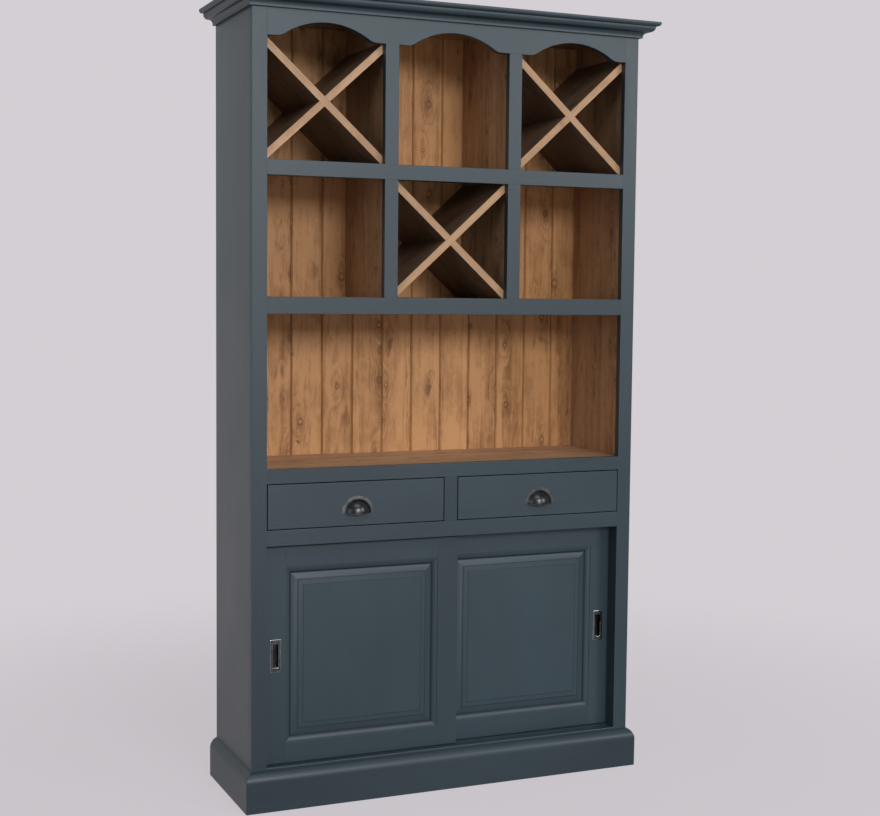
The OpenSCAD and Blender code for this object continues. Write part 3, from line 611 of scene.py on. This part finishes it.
back_joints = {"Board width": BACK_BOARD_WIDTH, "Joint": BACK_BOARD_JOINT, "Joint shade": 0.2}
back_pine = make_pine("waxed pine back boards", "xyz", HONEY, DULL_GLOSS, **back_joints)
shelf_pine = make_pine("waxed pine shelves", "yzx")
counter_pine = make_pine("waxed pine counter", "yzx", PALE)
divider_pine = make_pine("waxed pine dividers", "yxz")
drawer_pine = make_pine("plain pine across", "zyx", PALE)
drawer_side_pine = make_pine("plain pine front to back", "zxy", PALE)
drawer_bottom_pine = make_pine("plain pine drawer bottoms", "yzx", PALE)
print("back boards:", BACK_BOARD_WIDTH * 1000, "mm wide")

# %% [markdown]
# Two boards are painted where they show outside and waxed where they don't: a side panel turns to
# wax at its inner face, and the bottom of the cupboard turns to wax behind the front door's
# groove. Each finish blends both groups by asking where the surface lies.

# %% Finishes in paint and wax
WALL_INSIDE = 0.5672
SILL_BACK = -0.078


def make_mixed(name, painted, paint_order, wood_order):
    material, tree, shader, place = start_material(name)
    mask = painted(tree, add(tree, "ShaderNodeSeparateXYZ", {0: place}).outputs)
    coat = use_group(tree, paint_group, paint_inputs(tree, place, paint_order))
    wood = use_group(tree, pine_group, wood_inputs(tree, place, wood_order, WAXED))
    color = blend_colors(tree, mask, wood["Color"], coat["Color"])
    rough = blend_values(tree, mask, wood["Roughness"], coat["Roughness"])
    fill(tree, shader, {"Base Color": color, "Roughness": rough})
    relief(tree, shader, blend_values(tree, mask, wood["Height"], coat["Height"]))
    return material


def beside_wall(tree, parts):
    return maths(tree, "GREATER_THAN", maths(tree, "ABSOLUTE", parts[0]), WALL_INSIDE)


def before_groove(tree, parts):
    return maths(tree, "LESS_THAN", parts[1], SILL_BACK)


side_finish = make_mixed("side panel", beside_wall, "xyz", "yxz")
sill_finish = make_mixed("cupboard bottom", before_groove, "zyx", "yzx")
print("in paint and wax:", side_finish.name, "and", sill_finish.name)

# %% [markdown]
# A rack board slants across its bay, and its grain follows it. Here a Mapping node turns the
# coordinates about the depth of the cabinet first, by the slope of the board, and only then are
# they put in order. The faces are painted dark brown, a painted shade for the shadow that the
# boards cast on each other, and the front edges keep a pale pine. The mesh marks which faces look
# to the front, and the mark blends the two tones.

# %% Finishes for the racks
RACK_SLOPE = math.radians(42.2)


def make_rack_pine(name, turn):
    material, tree, shader, place = start_material(name)
    turned = add(tree, "ShaderNodeMapping", {"Vector": place, "Rotation": (0, turn, 0)}).outputs[0]
    # Faces that look to the front keep the pale pine; the others get the painted shade.
    looks_front = mark_of(tree, "front")
    tones = {label: blend_colors(tree, looks_front, SHADED_RACK_PINE[label], RACK_FRONT_PINE[label]) for label in SHADED_RACK_PINE}
    inputs = wood_inputs(tree, turned, "yzx", tones)
    finish_from(tree, shader, use_group(tree, pine_group, inputs))
    return material


rack_finish = {
    "rise": make_rack_pine("rack pine rising", RACK_SLOPE),
    "fall": make_rack_pine("rack pine falling", -RACK_SLOPE),
}
print("rack slope:", round(math.degrees(RACK_SLOPE), 1), "degrees")

# %% [markdown]
# The pulls have an aged finish, which is nearly black, with a drift in colour and gloss. Where
# fingers and cloths pass it is rubbed bright. Those places are marked on the mesh, with the same
# mark as the edges of the boards.

# %% Finish for the pulls
AGED_DARK, AGED_LIGHT, RUBBED = srgb(42, 43, 45), srgb(60, 61, 62), srgb(166, 172, 172)
METAL_CLOUDS, METAL_GRAIN = (70, 70, 70), (1500, 1500, 1500)
METAL_ROUGH = (0.2, 0.3)
METAL_RELIEF, METAL_DEPTH = 0.04, 0.0002


def make_metal():
    material, tree, shader, place = start_material("aged nickel")
    cloud = noise_in(tree, place, METAL_CLOUDS, 4, 0.6)
    grain = noise_in(tree, place, METAL_GRAIN, 2)
    aged = blend_colors(tree, remap(tree, cloud, 0.3, 0.7, 0, 1), AGED_DARK, AGED_LIGHT)
    rubbed = remap(tree, cloud, 0.35, 0.6, 0.6, 1.0)
    rubbed = maths(tree, "MULTIPLY", mark_of(tree, "arris"), rubbed)
    color = blend_colors(tree, rubbed, aged, RUBBED)
    rough = remap(tree, cloud, 0.3, 0.7, *METAL_ROUGH)
    fill(tree, shader, {"Base Color": color, "Metallic": 1.0, "Roughness": rough})
    relief(tree, shader, grain, METAL_RELIEF, METAL_DEPTH)
    return material


metal = make_metal()
print("metal:", metal.name)

# %% [markdown]
# ## Boards with eased edges
#
# No cabinet maker leaves a sharp edge: it would splinter and the paint would not hold. A pass
# with sandpaper takes about a millimetre off each free edge, and where two boards meet flush a
# hairline stays. That small bevel is what catches the light, so it is worth modelling.
#
# A Bevel modifier could round every edge alike, but the boards of the frame meet flush, and a
# wide V at each joint would look wrong. So each edge is asked where it lies: just outside it, to
# both sides, is there wood of another board? A free edge gets a wide bevel, a joined one only a
# hairline, and a buried one nothing.

# %% Solid wood to test against
MERGE = 1e-6


def merged_copy(name):
    shape = bmesh.new()
    shape.from_mesh(nodes[name].data)
    bmesh.ops.remove_doubles(shape, verts=shape.verts, dist=MERGE)
    return shape


def box_of(verts):
    return [[pick(vertex.co[axis] for vertex in verts) for axis in range(3)] for pick in (min, max)]


def loose_parts(shape):
    """The lowest and highest corner of each separate solid in a mesh."""
    waiting, boxes = set(shape.verts), []
    while waiting:
        reached, open_ends = set(), [waiting.pop()]
        while open_ends:
            vertex = open_ends.pop()
            reached.add(vertex)
            linked = {edge.other_vert(vertex) for edge in vertex.link_edges} & waiting
            waiting -= linked
            open_ends.extend(linked)
        boxes.append(box_of(reached))
    return sorted(boxes)


def solid_of(name):
    shape = merged_copy(name)
    tree, boxes = BVHTree.FromBMesh(shape), loose_parts(shape)
    shape.free()
    low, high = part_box(name)
    return {"tree": tree, "boxes": boxes, "low": low, "high": high}


solids = {name: solid_of(name) for name in nodes}
print("solids:", sum(len(solid["boxes"]) for solid in solids.values()))

# %% [markdown]
# Whether a point lies in wood is found by walking away from it along a straight ray and counting
# the walls on the way: an odd number means that the walk began inside. The ray is skew to every
# board, so that it never runs along a wall.

# %% Ask whether a point is in wood
SKEW = Vector((0.577, 0.211, 0.789)).normalized()


def in_other_wood(point, own):
    for name, solid in solids.items():
        low, high = solid["low"], solid["high"]
        if name == own or any(not low[axis] < point[axis] < high[axis] for axis in range(3)):
            continue
        crossed, start = 0, point
        hit = solid["tree"].ray_cast(start, SKEW)[0]
        while hit is not None:
            crossed += 1
            start = hit + SKEW * MERGE
            hit = solid["tree"].ray_cast(start, SKEW)[0]
        if crossed % 2:
            return True
    return False


print("wood in the middle of the niche:", in_other_wood(Vector((0, 0, 1.2)), ""))

# %% [markdown]
# An edge may be free along one stretch and joined along the next. So the boards are first cut
# where a neighbour starts or ends, and then each piece of an edge is probed in three places.

# %% Tell the edges of a board apart
PROBE = 0.0006
CLEAR_OF_END = 0.002
BURIED, JOINED, FREE = 0, 1, 2


def state_of(edge, own):
    first, second = (face.normal for face in edge.link_faces)
    ends = [vertex.co for vertex in edge.verts]
    joined = False
    for share in (0.15, 0.5, 0.85):
        place = ends[0].lerp(ends[1], share)
        if in_other_wood(place + (first + second) * PROBE, own):
            return BURIED
        joined = joined or in_other_wood(place + (first - second) * PROBE, own)
        joined = joined or in_other_wood(place + (second - first) * PROBE, own)
    return JOINED if joined else FREE


def neighbours_of(own, low, high):
    """The boxes of the other boards that a box touches."""
    for name, solid in solids.items():
        for near_low, near_high in solid["boxes"]:
            touches = all(
                near_low[axis] < high[axis] + PROBE and near_high[axis] > low[axis] - PROBE
                for axis in range(3))
            if name != own and touches:
                yield near_low, near_high


def cut_at_neighbours(shape, own):
    places = {0: set(), 2: set()}
    for low, high in solids[own]["boxes"]:
        for near_box in neighbours_of(own, low, high):
            for axis, found in places.items():
                for corner in near_box:
                    if low[axis] + CLEAR_OF_END < corner[axis] < high[axis] - CLEAR_OF_END:
                        found.add(round(corner[axis], 6))
    for axis, values in places.items():
        for value in values:
            point, normal = Vector(), Vector()
            point[axis], normal[axis] = value, 1
            bmesh.ops.bisect_plane(
                shape, geom=[*shape.verts, *shape.edges, *shape.faces], dist=MERGE,
                plane_co=point, plane_no=normal)


print("probe:", PROBE * 1000, "mm outside an edge")

# %% [markdown]
# Five small tools do the rest. One bevels edges and marks the strips it makes, one takes the
# triangles out of flat faces, and one shades: flat faces stay flat, and only the narrow strips
# that form a curve are smooth. The operators may order what they make anew in each run, so one
# sorts a finished shape by place. The last puts it in the place of a node of the frame, where it
# moves with the same body.

# %% Tools for new pieces
CREASE = math.radians(11)
FLAT = math.radians(0.2)
STRIP = 0.02


def bevel_edges(shape, edges, width, segments, mark):
    made = bmesh.ops.bevel(
        shape, geom=edges, offset=width, offset_type="OFFSET", segments=segments, profile=0.5,
        affect="EDGES", clamp_overlap=False, material=-1)
    for face in made["faces"]:
        face[mark] = 1.0
    bmesh.ops.dissolve_degenerate(shape, dist=MERGE * 5, edges=shape.edges)


def clear_flats(shape):
    """Takes out the edges inside flat faces."""
    bmesh.ops.dissolve_limit(
        shape, angle_limit=FLAT, verts=shape.verts, edges=shape.edges, delimit={"NORMAL"})


def shade_curves(shape):
    for face in shape.faces:
        longest = max(edge.calc_length() for edge in face.edges)
        face.smooth = face.calc_area() / longest < STRIP
    for edge in shape.edges:
        edge.smooth = edge.calc_face_angle(math.pi) < CREASE


def place_of(values):
    return [round(value, 6) for value in values]


def sort_by_place(shape):
    orders = (
        (shape.verts, lambda vertex: place_of(vertex.co)),
        (shape.edges, lambda edge: place_of(edge.verts[0].co + edge.verts[1].co)),
        (shape.faces, lambda face: place_of([*face.calc_center_median(), *face.normal])))
    for elements, key in orders:
        for rank, element in enumerate(sorted(elements, key=key)):
            element.index = rank
        elements.sort()


def stand_in(name, shape, ending):
    """Makes an object of a finished shape and puts it in the place of a node of the frame."""
    sort_by_place(shape)
    mesh = bpy.data.meshes.new(name + ending)
    shape.to_mesh(mesh)
    shape.free()
    piece = new_object(name + ending, mesh)
    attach(piece, carried_by[name])
    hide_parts(name)
    return piece


print("crease:", round(math.degrees(CREASE)), "degrees")

# %% [markdown]
# With the states known, easing a board is short work: the free edges first, then the hairlines
# of those that are joined. Last, the faces that look to the front are marked for the racks.

# %% Ease the edges of one board
HAIRLINE = 0.0003
SHARP = math.radians(30)
FACES_FRONT = 0.35


def eased(name, width, segments=2):
    shape = merged_copy(name)
    mark = shape.faces.layers.float.new("arris")
    state = shape.edges.layers.int.new("state")
    clear_flats(shape)
    cut_at_neighbours(shape, name)
    for edge in shape.edges:
        outer = edge.is_manifold and edge.is_convex and edge.calc_face_angle(0) > SHARP
        if outer and edge.calc_length() > 2 * width:
            edge[state] = state_of(edge, name)
    free = [edge for edge in shape.edges if edge[state] == FREE]
    bevel_edges(shape, free, width, segments, mark)
    joined = [
        edge for edge in shape.edges
        if edge[state] == JOINED and edge.calc_face_angle(0) > SHARP]
    bevel_edges(shape, joined, HAIRLINE, 1, mark)
    shade_curves(shape)
    front = shape.faces.layers.float.new("front")
    for face in shape.faces:
        face[front] = 1.0 if face.normal.y < -FACES_FRONT else 0.0
    return stand_in(name, shape, "_eased")


print("hairline:", HAIRLINE * 1000, "mm")

# %% [markdown]
# The frame gets a millimetre and a bit. The fine steps of the mouldings and of the doors would
# be lost under that, so they get less. A few boards are painted lighter or darker by the share
# that is listed here: painted light and shade for how the light falls on each of them.

# %% Ease the boards
EASE_FRAME, EASE_DRAWER, EASE_RACK = 0.0012, 0.001, 0.0008
EASE_DOOR, EASE_MOULDING, EASE_PANEL = 0.0005, 0.0004, 0.0002
# Lighter or darker paint for how the light falls on each board: painted light and shade.
PAINTED_LIGHT_TONES = {
    "stile_left": -0.13, "rail_lower": -0.13, "rail_counter": -0.07, "muntins_lower": -0.09,
    "plinth_front": -0.1, "door_left_panel": 0.1, "door_right_panel": 0.13,
    "door_right_stiles": 0.13, "door_right_rails": 0.08}


boards = []


def ease(width, finish, *names):
    for name in names:
        piece = eased(name, width)
        piece.data.materials.append(finish)
        tone = piece.data.attributes.new("tone", "FLOAT", "FACE")
        tone.data.foreach_set("value", [PAINTED_LIGHT_TONES.get(name, 0.0)] * len(piece.data.polygons))
        boards.append(piece)


ease(EASE_FRAME, paint["upright"], "stile_left", "stile_right")
ease(EASE_FRAME, paint["upright"], "muntins_lower", "muntins_upper", "drawer_post")
ease(EASE_FRAME, paint["across"], "rail_sill", "rail_drawer", "rail_counter", "rail_lower")
ease(EASE_FRAME, paint["across"], "rail_upper", "valance", "plinth_front")
ease(EASE_FRAME, paint["deep"], "plinth_left", "plinth_right")
ease(EASE_FRAME, side_finish, "side_left", "side_right")
ease(EASE_MOULDING, paint["across"], "crown_front")
ease(EASE_MOULDING, paint["deep"], "crown_left", "crown_right")
for side in ("left", "right"):
    ease(EASE_DRAWER, paint["across"], f"drawer_{side}_front")
    ease(EASE_DOOR, door_paint[side, "upright"], f"door_{side}_stiles")
    ease(EASE_DOOR, door_paint[side, "across"], f"door_{side}_rails")
    ease(EASE_PANEL, door_paint[side, "upright"], f"door_{side}_panel")
for place in ("left", "middle", "right"):
    for direction, finish in rack_finish.items():
        ease(EASE_RACK, finish, f"rack_{place}_{direction}")
print("eased:", len(boards), "faces:", sum(len(piece.data.polygons) for piece in boards))

# %% [markdown]
# ## Cup pulls
#
# A cup pull is pressed from one sheet: a quarter dome with a flat rim, open below for the
# fingers. It could be pulled out of a sphere, but a dome like this is a turned shape, so it is
# easier and truer to spin its outline about the line that points out of the drawer.

# %% Spin an outline
DOME_STEPS = 14
SPIN_STEPS = 72
WELD = 1e-5


def dome_outline(half, out):
    """Points of the dome as (radius, distance in front of the drawer), from the top to the rim."""
    radius = (half ** 2 + out ** 2) / (2 * out)
    widest = math.asin(half / radius)
    for step in range(DOME_STEPS + 1):
        angle = widest * step / DOME_STEPS
        yield radius * math.sin(angle), out - radius * (1 - math.cos(angle))


def spin_outline(shape, outline, at):
    verts = [shape.verts.new((at.x + r, at.y - y, at.z)) for r, y in outline]
    edges = [shape.edges.new(pair) for pair in zip(verts, verts[1:])]
    bmesh.ops.spin(
        shape, geom=verts + edges, cent=at, axis=(0, 1, 0), angle=math.tau, steps=SPIN_STEPS,
        use_merge=True)
    bmesh.ops.remove_doubles(shape, verts=shape.verts, dist=WELD)


print("spin:", SPIN_STEPS, "steps")

# %% [markdown]
# The lower part of the dome is cut away on a slant, so that the lip hangs lower in front than at
# the rim, and the sheet gets its thickness last. The rim stands a little further out than the
# sheet is thick, which keeps the inner face clear of the drawer. Rim and lip are marked, because
# that is where hands rub them bright.

# %% Make the cup pulls
RIM_OUT = 0.0015
SHEET = 0.0014
RIM = 0.0095
RIM_ROUND = 0.0006
LIP_DROP = 0.0025
RIM_RUBBED, LIP_RUBBED = 0.25, 0.2
SMOOTH_BELOW = math.radians(35)


def keep_sharp_edges(shape):
    for edge in shape.edges:
        edge.smooth = edge.calc_face_angle(math.pi) < SMOOTH_BELOW


def make_cup_pull(name):
    low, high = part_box(name)
    half_width, out = (high[0] - low[0]) / 2, high[1] - low[1]
    middle = Vector(((low[0] + high[0]) / 2, high[1], high[2] - half_width))
    outline = [(r, max(y, RIM_OUT)) for r, y in dome_outline(half_width - RIM, out)]
    outline += [(half_width - RIM_ROUND, RIM_OUT), (half_width, RIM_OUT * 0.6), (half_width, 0)]

    shape = bmesh.new()
    mark = shape.faces.layers.float.new("arris")
    spin_outline(shape, outline, middle)
    slant = Vector((0, LIP_DROP, -out)).normalized()
    bmesh.ops.bisect_plane(
        shape, geom=[*shape.verts, *shape.edges, *shape.faces], dist=MERGE,
        plane_co=middle, plane_no=slant, clear_outer=True)
    bmesh.ops.recalc_face_normals(shape, faces=shape.faces)
    shape.normal_update()
    if sum(face.normal.y * face.calc_area() for face in shape.faces) > 0:
        bmesh.ops.reverse_faces(shape, faces=shape.faces)
    bmesh.ops.solidify(shape, geom=shape.faces, thickness=SHEET)
    bmesh.ops.recalc_face_normals(shape, faces=shape.faces)
    for face in shape.faces:
        away = face.calc_center_median() - middle
        on_rim = math.hypot(away.x, away.z) > half_width - RIM
        on_lip = away.dot(slant) > -RIM_OUT
        face[mark] = RIM_RUBBED if on_rim else LIP_RUBBED if on_lip else 0.0
        face.smooth = True
    keep_sharp_edges(shape)
    piece = stand_in(name, shape, "_pressed")
    piece.data.materials.append(metal)
    return piece


cup_pulls = [make_cup_pull(f"drawer_{side}_pull") for side in ("left", "right")]
print("cup pulls:", [len(piece.data.polygons) for piece in cup_pulls])

# %% [markdown]
# ## Flush pulls
#
# A sliding door passes close behind the other, so its pull can't stand out: a plate is let into
# the stile with a hollow for the fingertips. The solid from the frame has the right sizes but
# hard corners, so it is enough to find its edges and to soften them.

# %% Find the edges of a flush pull
PLATE_WALL = 0.004
STRAIGHT = 0.99


def points_forward(edge):
    along = (edge.verts[0].co - edge.verts[1].co).normalized()
    return abs(along.y) > STRAIGHT and edge.calc_face_angle(0) > SHARP


def front_rims(shape, low, high, at_plate):
    """The sharp edges in the front face: those of the plate's outline, or those of its hollow."""
    rims = []
    for edge in shape.edges:
        middle = (edge.verts[0].co + edge.verts[1].co) / 2
        in_front = all(abs(vertex.co.y - low[1]) < MERGE * 10 for vertex in edge.verts)
        inside = all(low[i] + PLATE_WALL < middle[i] < high[i] - PLATE_WALL for i in (0, 2))
        if in_front and inside != at_plate and edge.calc_face_angle(0) > SHARP:
            rims.append(edge)
    return rims


print("wall of the plate:", PLATE_WALL * 1000, "mm")

# %% [markdown]
# The corners are rounded first, and then the rims of plate and hollow get a fine bevel, which is
# the bright line round a pull that shows from some steps away.

# %% Round the flush pulls
CORNER = 0.0022
PLATE_BEVEL, HOLLOW_BEVEL = 0.0013, 0.0006
PLATE_RUBBED = 0.16
IN_PLANE = 0.0001
SMALL_FACE = 0.00002


def make_flush_pull(name):
    low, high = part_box(name)
    shape = merged_copy(name)
    mark = shape.faces.layers.float.new("arris")
    clear_flats(shape)
    corners = [edge for edge in shape.edges if points_forward(edge)]
    bmesh.ops.bevel(
        shape, geom=corners, offset=CORNER, offset_type="OFFSET", segments=4, profile=0.5,
        affect="EDGES", clamp_overlap=True, material=-1)
    bevel_edges(shape, front_rims(shape, low, high, True), PLATE_BEVEL, 2, mark)
    bevel_edges(shape, front_rims(shape, low, high, False), HOLLOW_BEVEL, 2, mark)
    keep_sharp_edges(shape)
    for face in shape.faces:
        face.smooth = face.calc_area() < SMALL_FACE
        if face[mark] == 0.0 and abs(face.calc_center_median().y - low[1]) < IN_PLANE:
            face[mark] = PLATE_RUBBED
    piece = stand_in(name, shape, "_rounded")
    piece.data.materials.append(metal)
    return piece


flush_pulls = [make_flush_pull(f"door_{side}_pull") for side in ("left", "right")]
print("flush pulls:", [len(piece.data.polygons) for piece in flush_pulls])

# %% [markdown]
# ## The boards inside
#
# The other boards keep the solids that they came with: most have their edges hidden behind the
# stiles and rails, and the cap board has its nosing already. They only need their finish.

# %% Dress the boards inside
def dress(finish, *names):
    for name in names:
        for slot in nodes[name].material_slots:
            slot.material = finish


dress(paint["across"], "cap_board")
dress(paint["upright"], "door_stops")
dress(sill_finish, "board_bottom")
dress(divider_pine, "dividers_lower", "dividers_upper", "drawer_partition")
dress(counter_pine, "board_counter")
dress(shelf_pine, "shelf_lower", "shelf_upper", "shelf_cupboard", "board_top", "board_dust")
dress(shelf_pine, "door_track")
dress(back_pine, "back_boards")
dress(drawer_side_pine, "drawer_guides", "drawer_left_sides", "drawer_right_sides")
dress(drawer_pine, "drawer_left_back", "drawer_right_back")
dress(drawer_bottom_pine, "drawer_left_bottom", "drawer_right_bottom")
print("materials:", len(bpy.data.materials))

# %% [markdown]
# ## Floor and backdrop
#
# The cabinet stands alone on a pale lilac grey. The floor is a wide plane and the backdrop is the
# world, and both show the camera the same colour. The floor mixes it with its true shade, so
# that the shadow of the cabinet stays, and the mix fades out into the plain colour with distance.

# %% Floor
BACKDROP = srgb(212, 207, 212)
FLOOR_TRUE, FLOOR_SEEN = srgb(112, 110, 112), srgb(204, 199, 204)
FLOOR_SIZE = 20
FLOOR_ROUGH = 0.8
FLOOR_SHOWS = 0.78
FADE_FROM, FADE_TO = 0.8, 3.2


def make_floor():
    mesh = bpy.data.meshes.new("floor")
    shape = bmesh.new()
    bmesh.ops.create_grid(shape, x_segments=1, y_segments=1, size=FLOOR_SIZE)
    shape.to_mesh(mesh)
    shape.free()
    floor = new_object("floor", mesh)
    material = bpy.data.materials.new("studio floor")
    material.use_nodes = True
    tree = material.node_tree
    shader = tree.nodes["Principled BSDF"]
    light = add(tree, "ShaderNodeLightPath").outputs
    seen = maths(tree, "MAXIMUM", light["Is Camera Ray"], light["Is Glossy Ray"])
    shade = blend_colors(tree, seen, FLOOR_TRUE, FLOOR_SEEN)
    fill(tree, shader, {"Base Color": shade, "Roughness": FLOOR_ROUGH})
    away = length_of(tree, add(tree, "ShaderNodeTexCoord").outputs["Object"])
    shows = remap(tree, away, FADE_FROM, FADE_TO, FLOOR_SHOWS, 1.0, True)
    seen = maths(tree, "MULTIPLY", seen, shows)
    shown = add(tree, "ShaderNodeEmission", {"Color": BACKDROP, "Strength": 1.0})
    inputs = {0: seen, 1: shader.outputs[0], 2: shown.outputs[0]}
    mixed = add(tree, "ShaderNodeMixShader", inputs)
    tree.links.new(mixed.outputs[0], tree.nodes["Material Output"].inputs["Surface"])
    mesh.materials.append(material)
    return floor


floor = make_floor()
print("floor reaches:", max(vertex.co.x for vertex in floor.data.vertices), "m out")

# %% [markdown]
# The world shows gloss the same grey without the lilac, which would tint the paint. The light
# that it casts is set apart from what it shows, so it can look pale and still light little.

# %% World
GLOSS_SHOWS = srgb(205, 207, 211)
WORLD_LIGHT = 0.34


def make_world():
    world = bpy.data.worlds.new("studio")
    bpy.context.scene.world = world
    world.use_nodes = True
    tree = world.node_tree
    tree.nodes.clear()
    light = add(tree, "ShaderNodeLightPath").outputs
    seen = maths(tree, "MAXIMUM", light["Is Camera Ray"], light["Is Transmission Ray"])
    seen = maths(tree, "MAXIMUM", seen, light["Is Glossy Ray"])
    strength = remap(tree, seen, 0.0, 1.0, WORLD_LIGHT, 1.0)
    color = blend_colors(tree, light["Is Glossy Ray"], BACKDROP, GLOSS_SHOWS)
    sky = add(tree, "ShaderNodeBackground", {"Color": color, "Strength": strength})
    output = tree.nodes.new("ShaderNodeOutputWorld")
    tree.links.new(sky.outputs[0], output.inputs["Surface"])
    return world


world = make_world()
print("world:", world.name, "casting", WORLD_LIGHT)

# %% [markdown]
# Soft lamps light the front. The key stands far off and a metre above the cabinet, so its light
# comes in at one slope everywhere and each rail lays a soft shadow on the boards behind it. A
# second lamp to the right gives the front its slope from light to dark. The rest are weak: one
# from the left, one high up that shines back from the slopes of the door panels, and a low one
# that lights up the niche and puts the light spot on the pulls.

# %% Lamps
def aim_lamp(name, place, target, size, power):
    data = bpy.data.lights.new(name, "AREA")
    data.shape = "RECTANGLE"
    data.size, data.size_y = size
    data.energy = power
    lamp = new_object(name, data)
    lamp.location = place
    toward = Vector(target) - Vector(place)
    lamp.rotation_euler = toward.to_track_quat("-Z", "Y").to_euler()
    return lamp


lamps = [
    aim_lamp("key", (0.2, -8.0, 3.4), (0, 0, 1.3), (2.6, 1.8), 290),
    aim_lamp("right", (5.0, -7.0, 3.4), (0, 0, 1.2), (2.0, 2.4), 160),
    aim_lamp("left", (-5.0, -3.0, 1.8), (0, 0, 1.2), (2.0, 2.4), 26),
    aim_lamp("top", (-0.3, -3.2, 4.4), (0, 0, 1.2), (2.6, 1.2), 35),
    aim_lamp("low", (0.0, -5.0, 1.0), (0, 0, 0.9), (3.0, 1.0), 24)]
print("lamps:", {lamp.name: lamp.data.energy for lamp in lamps})
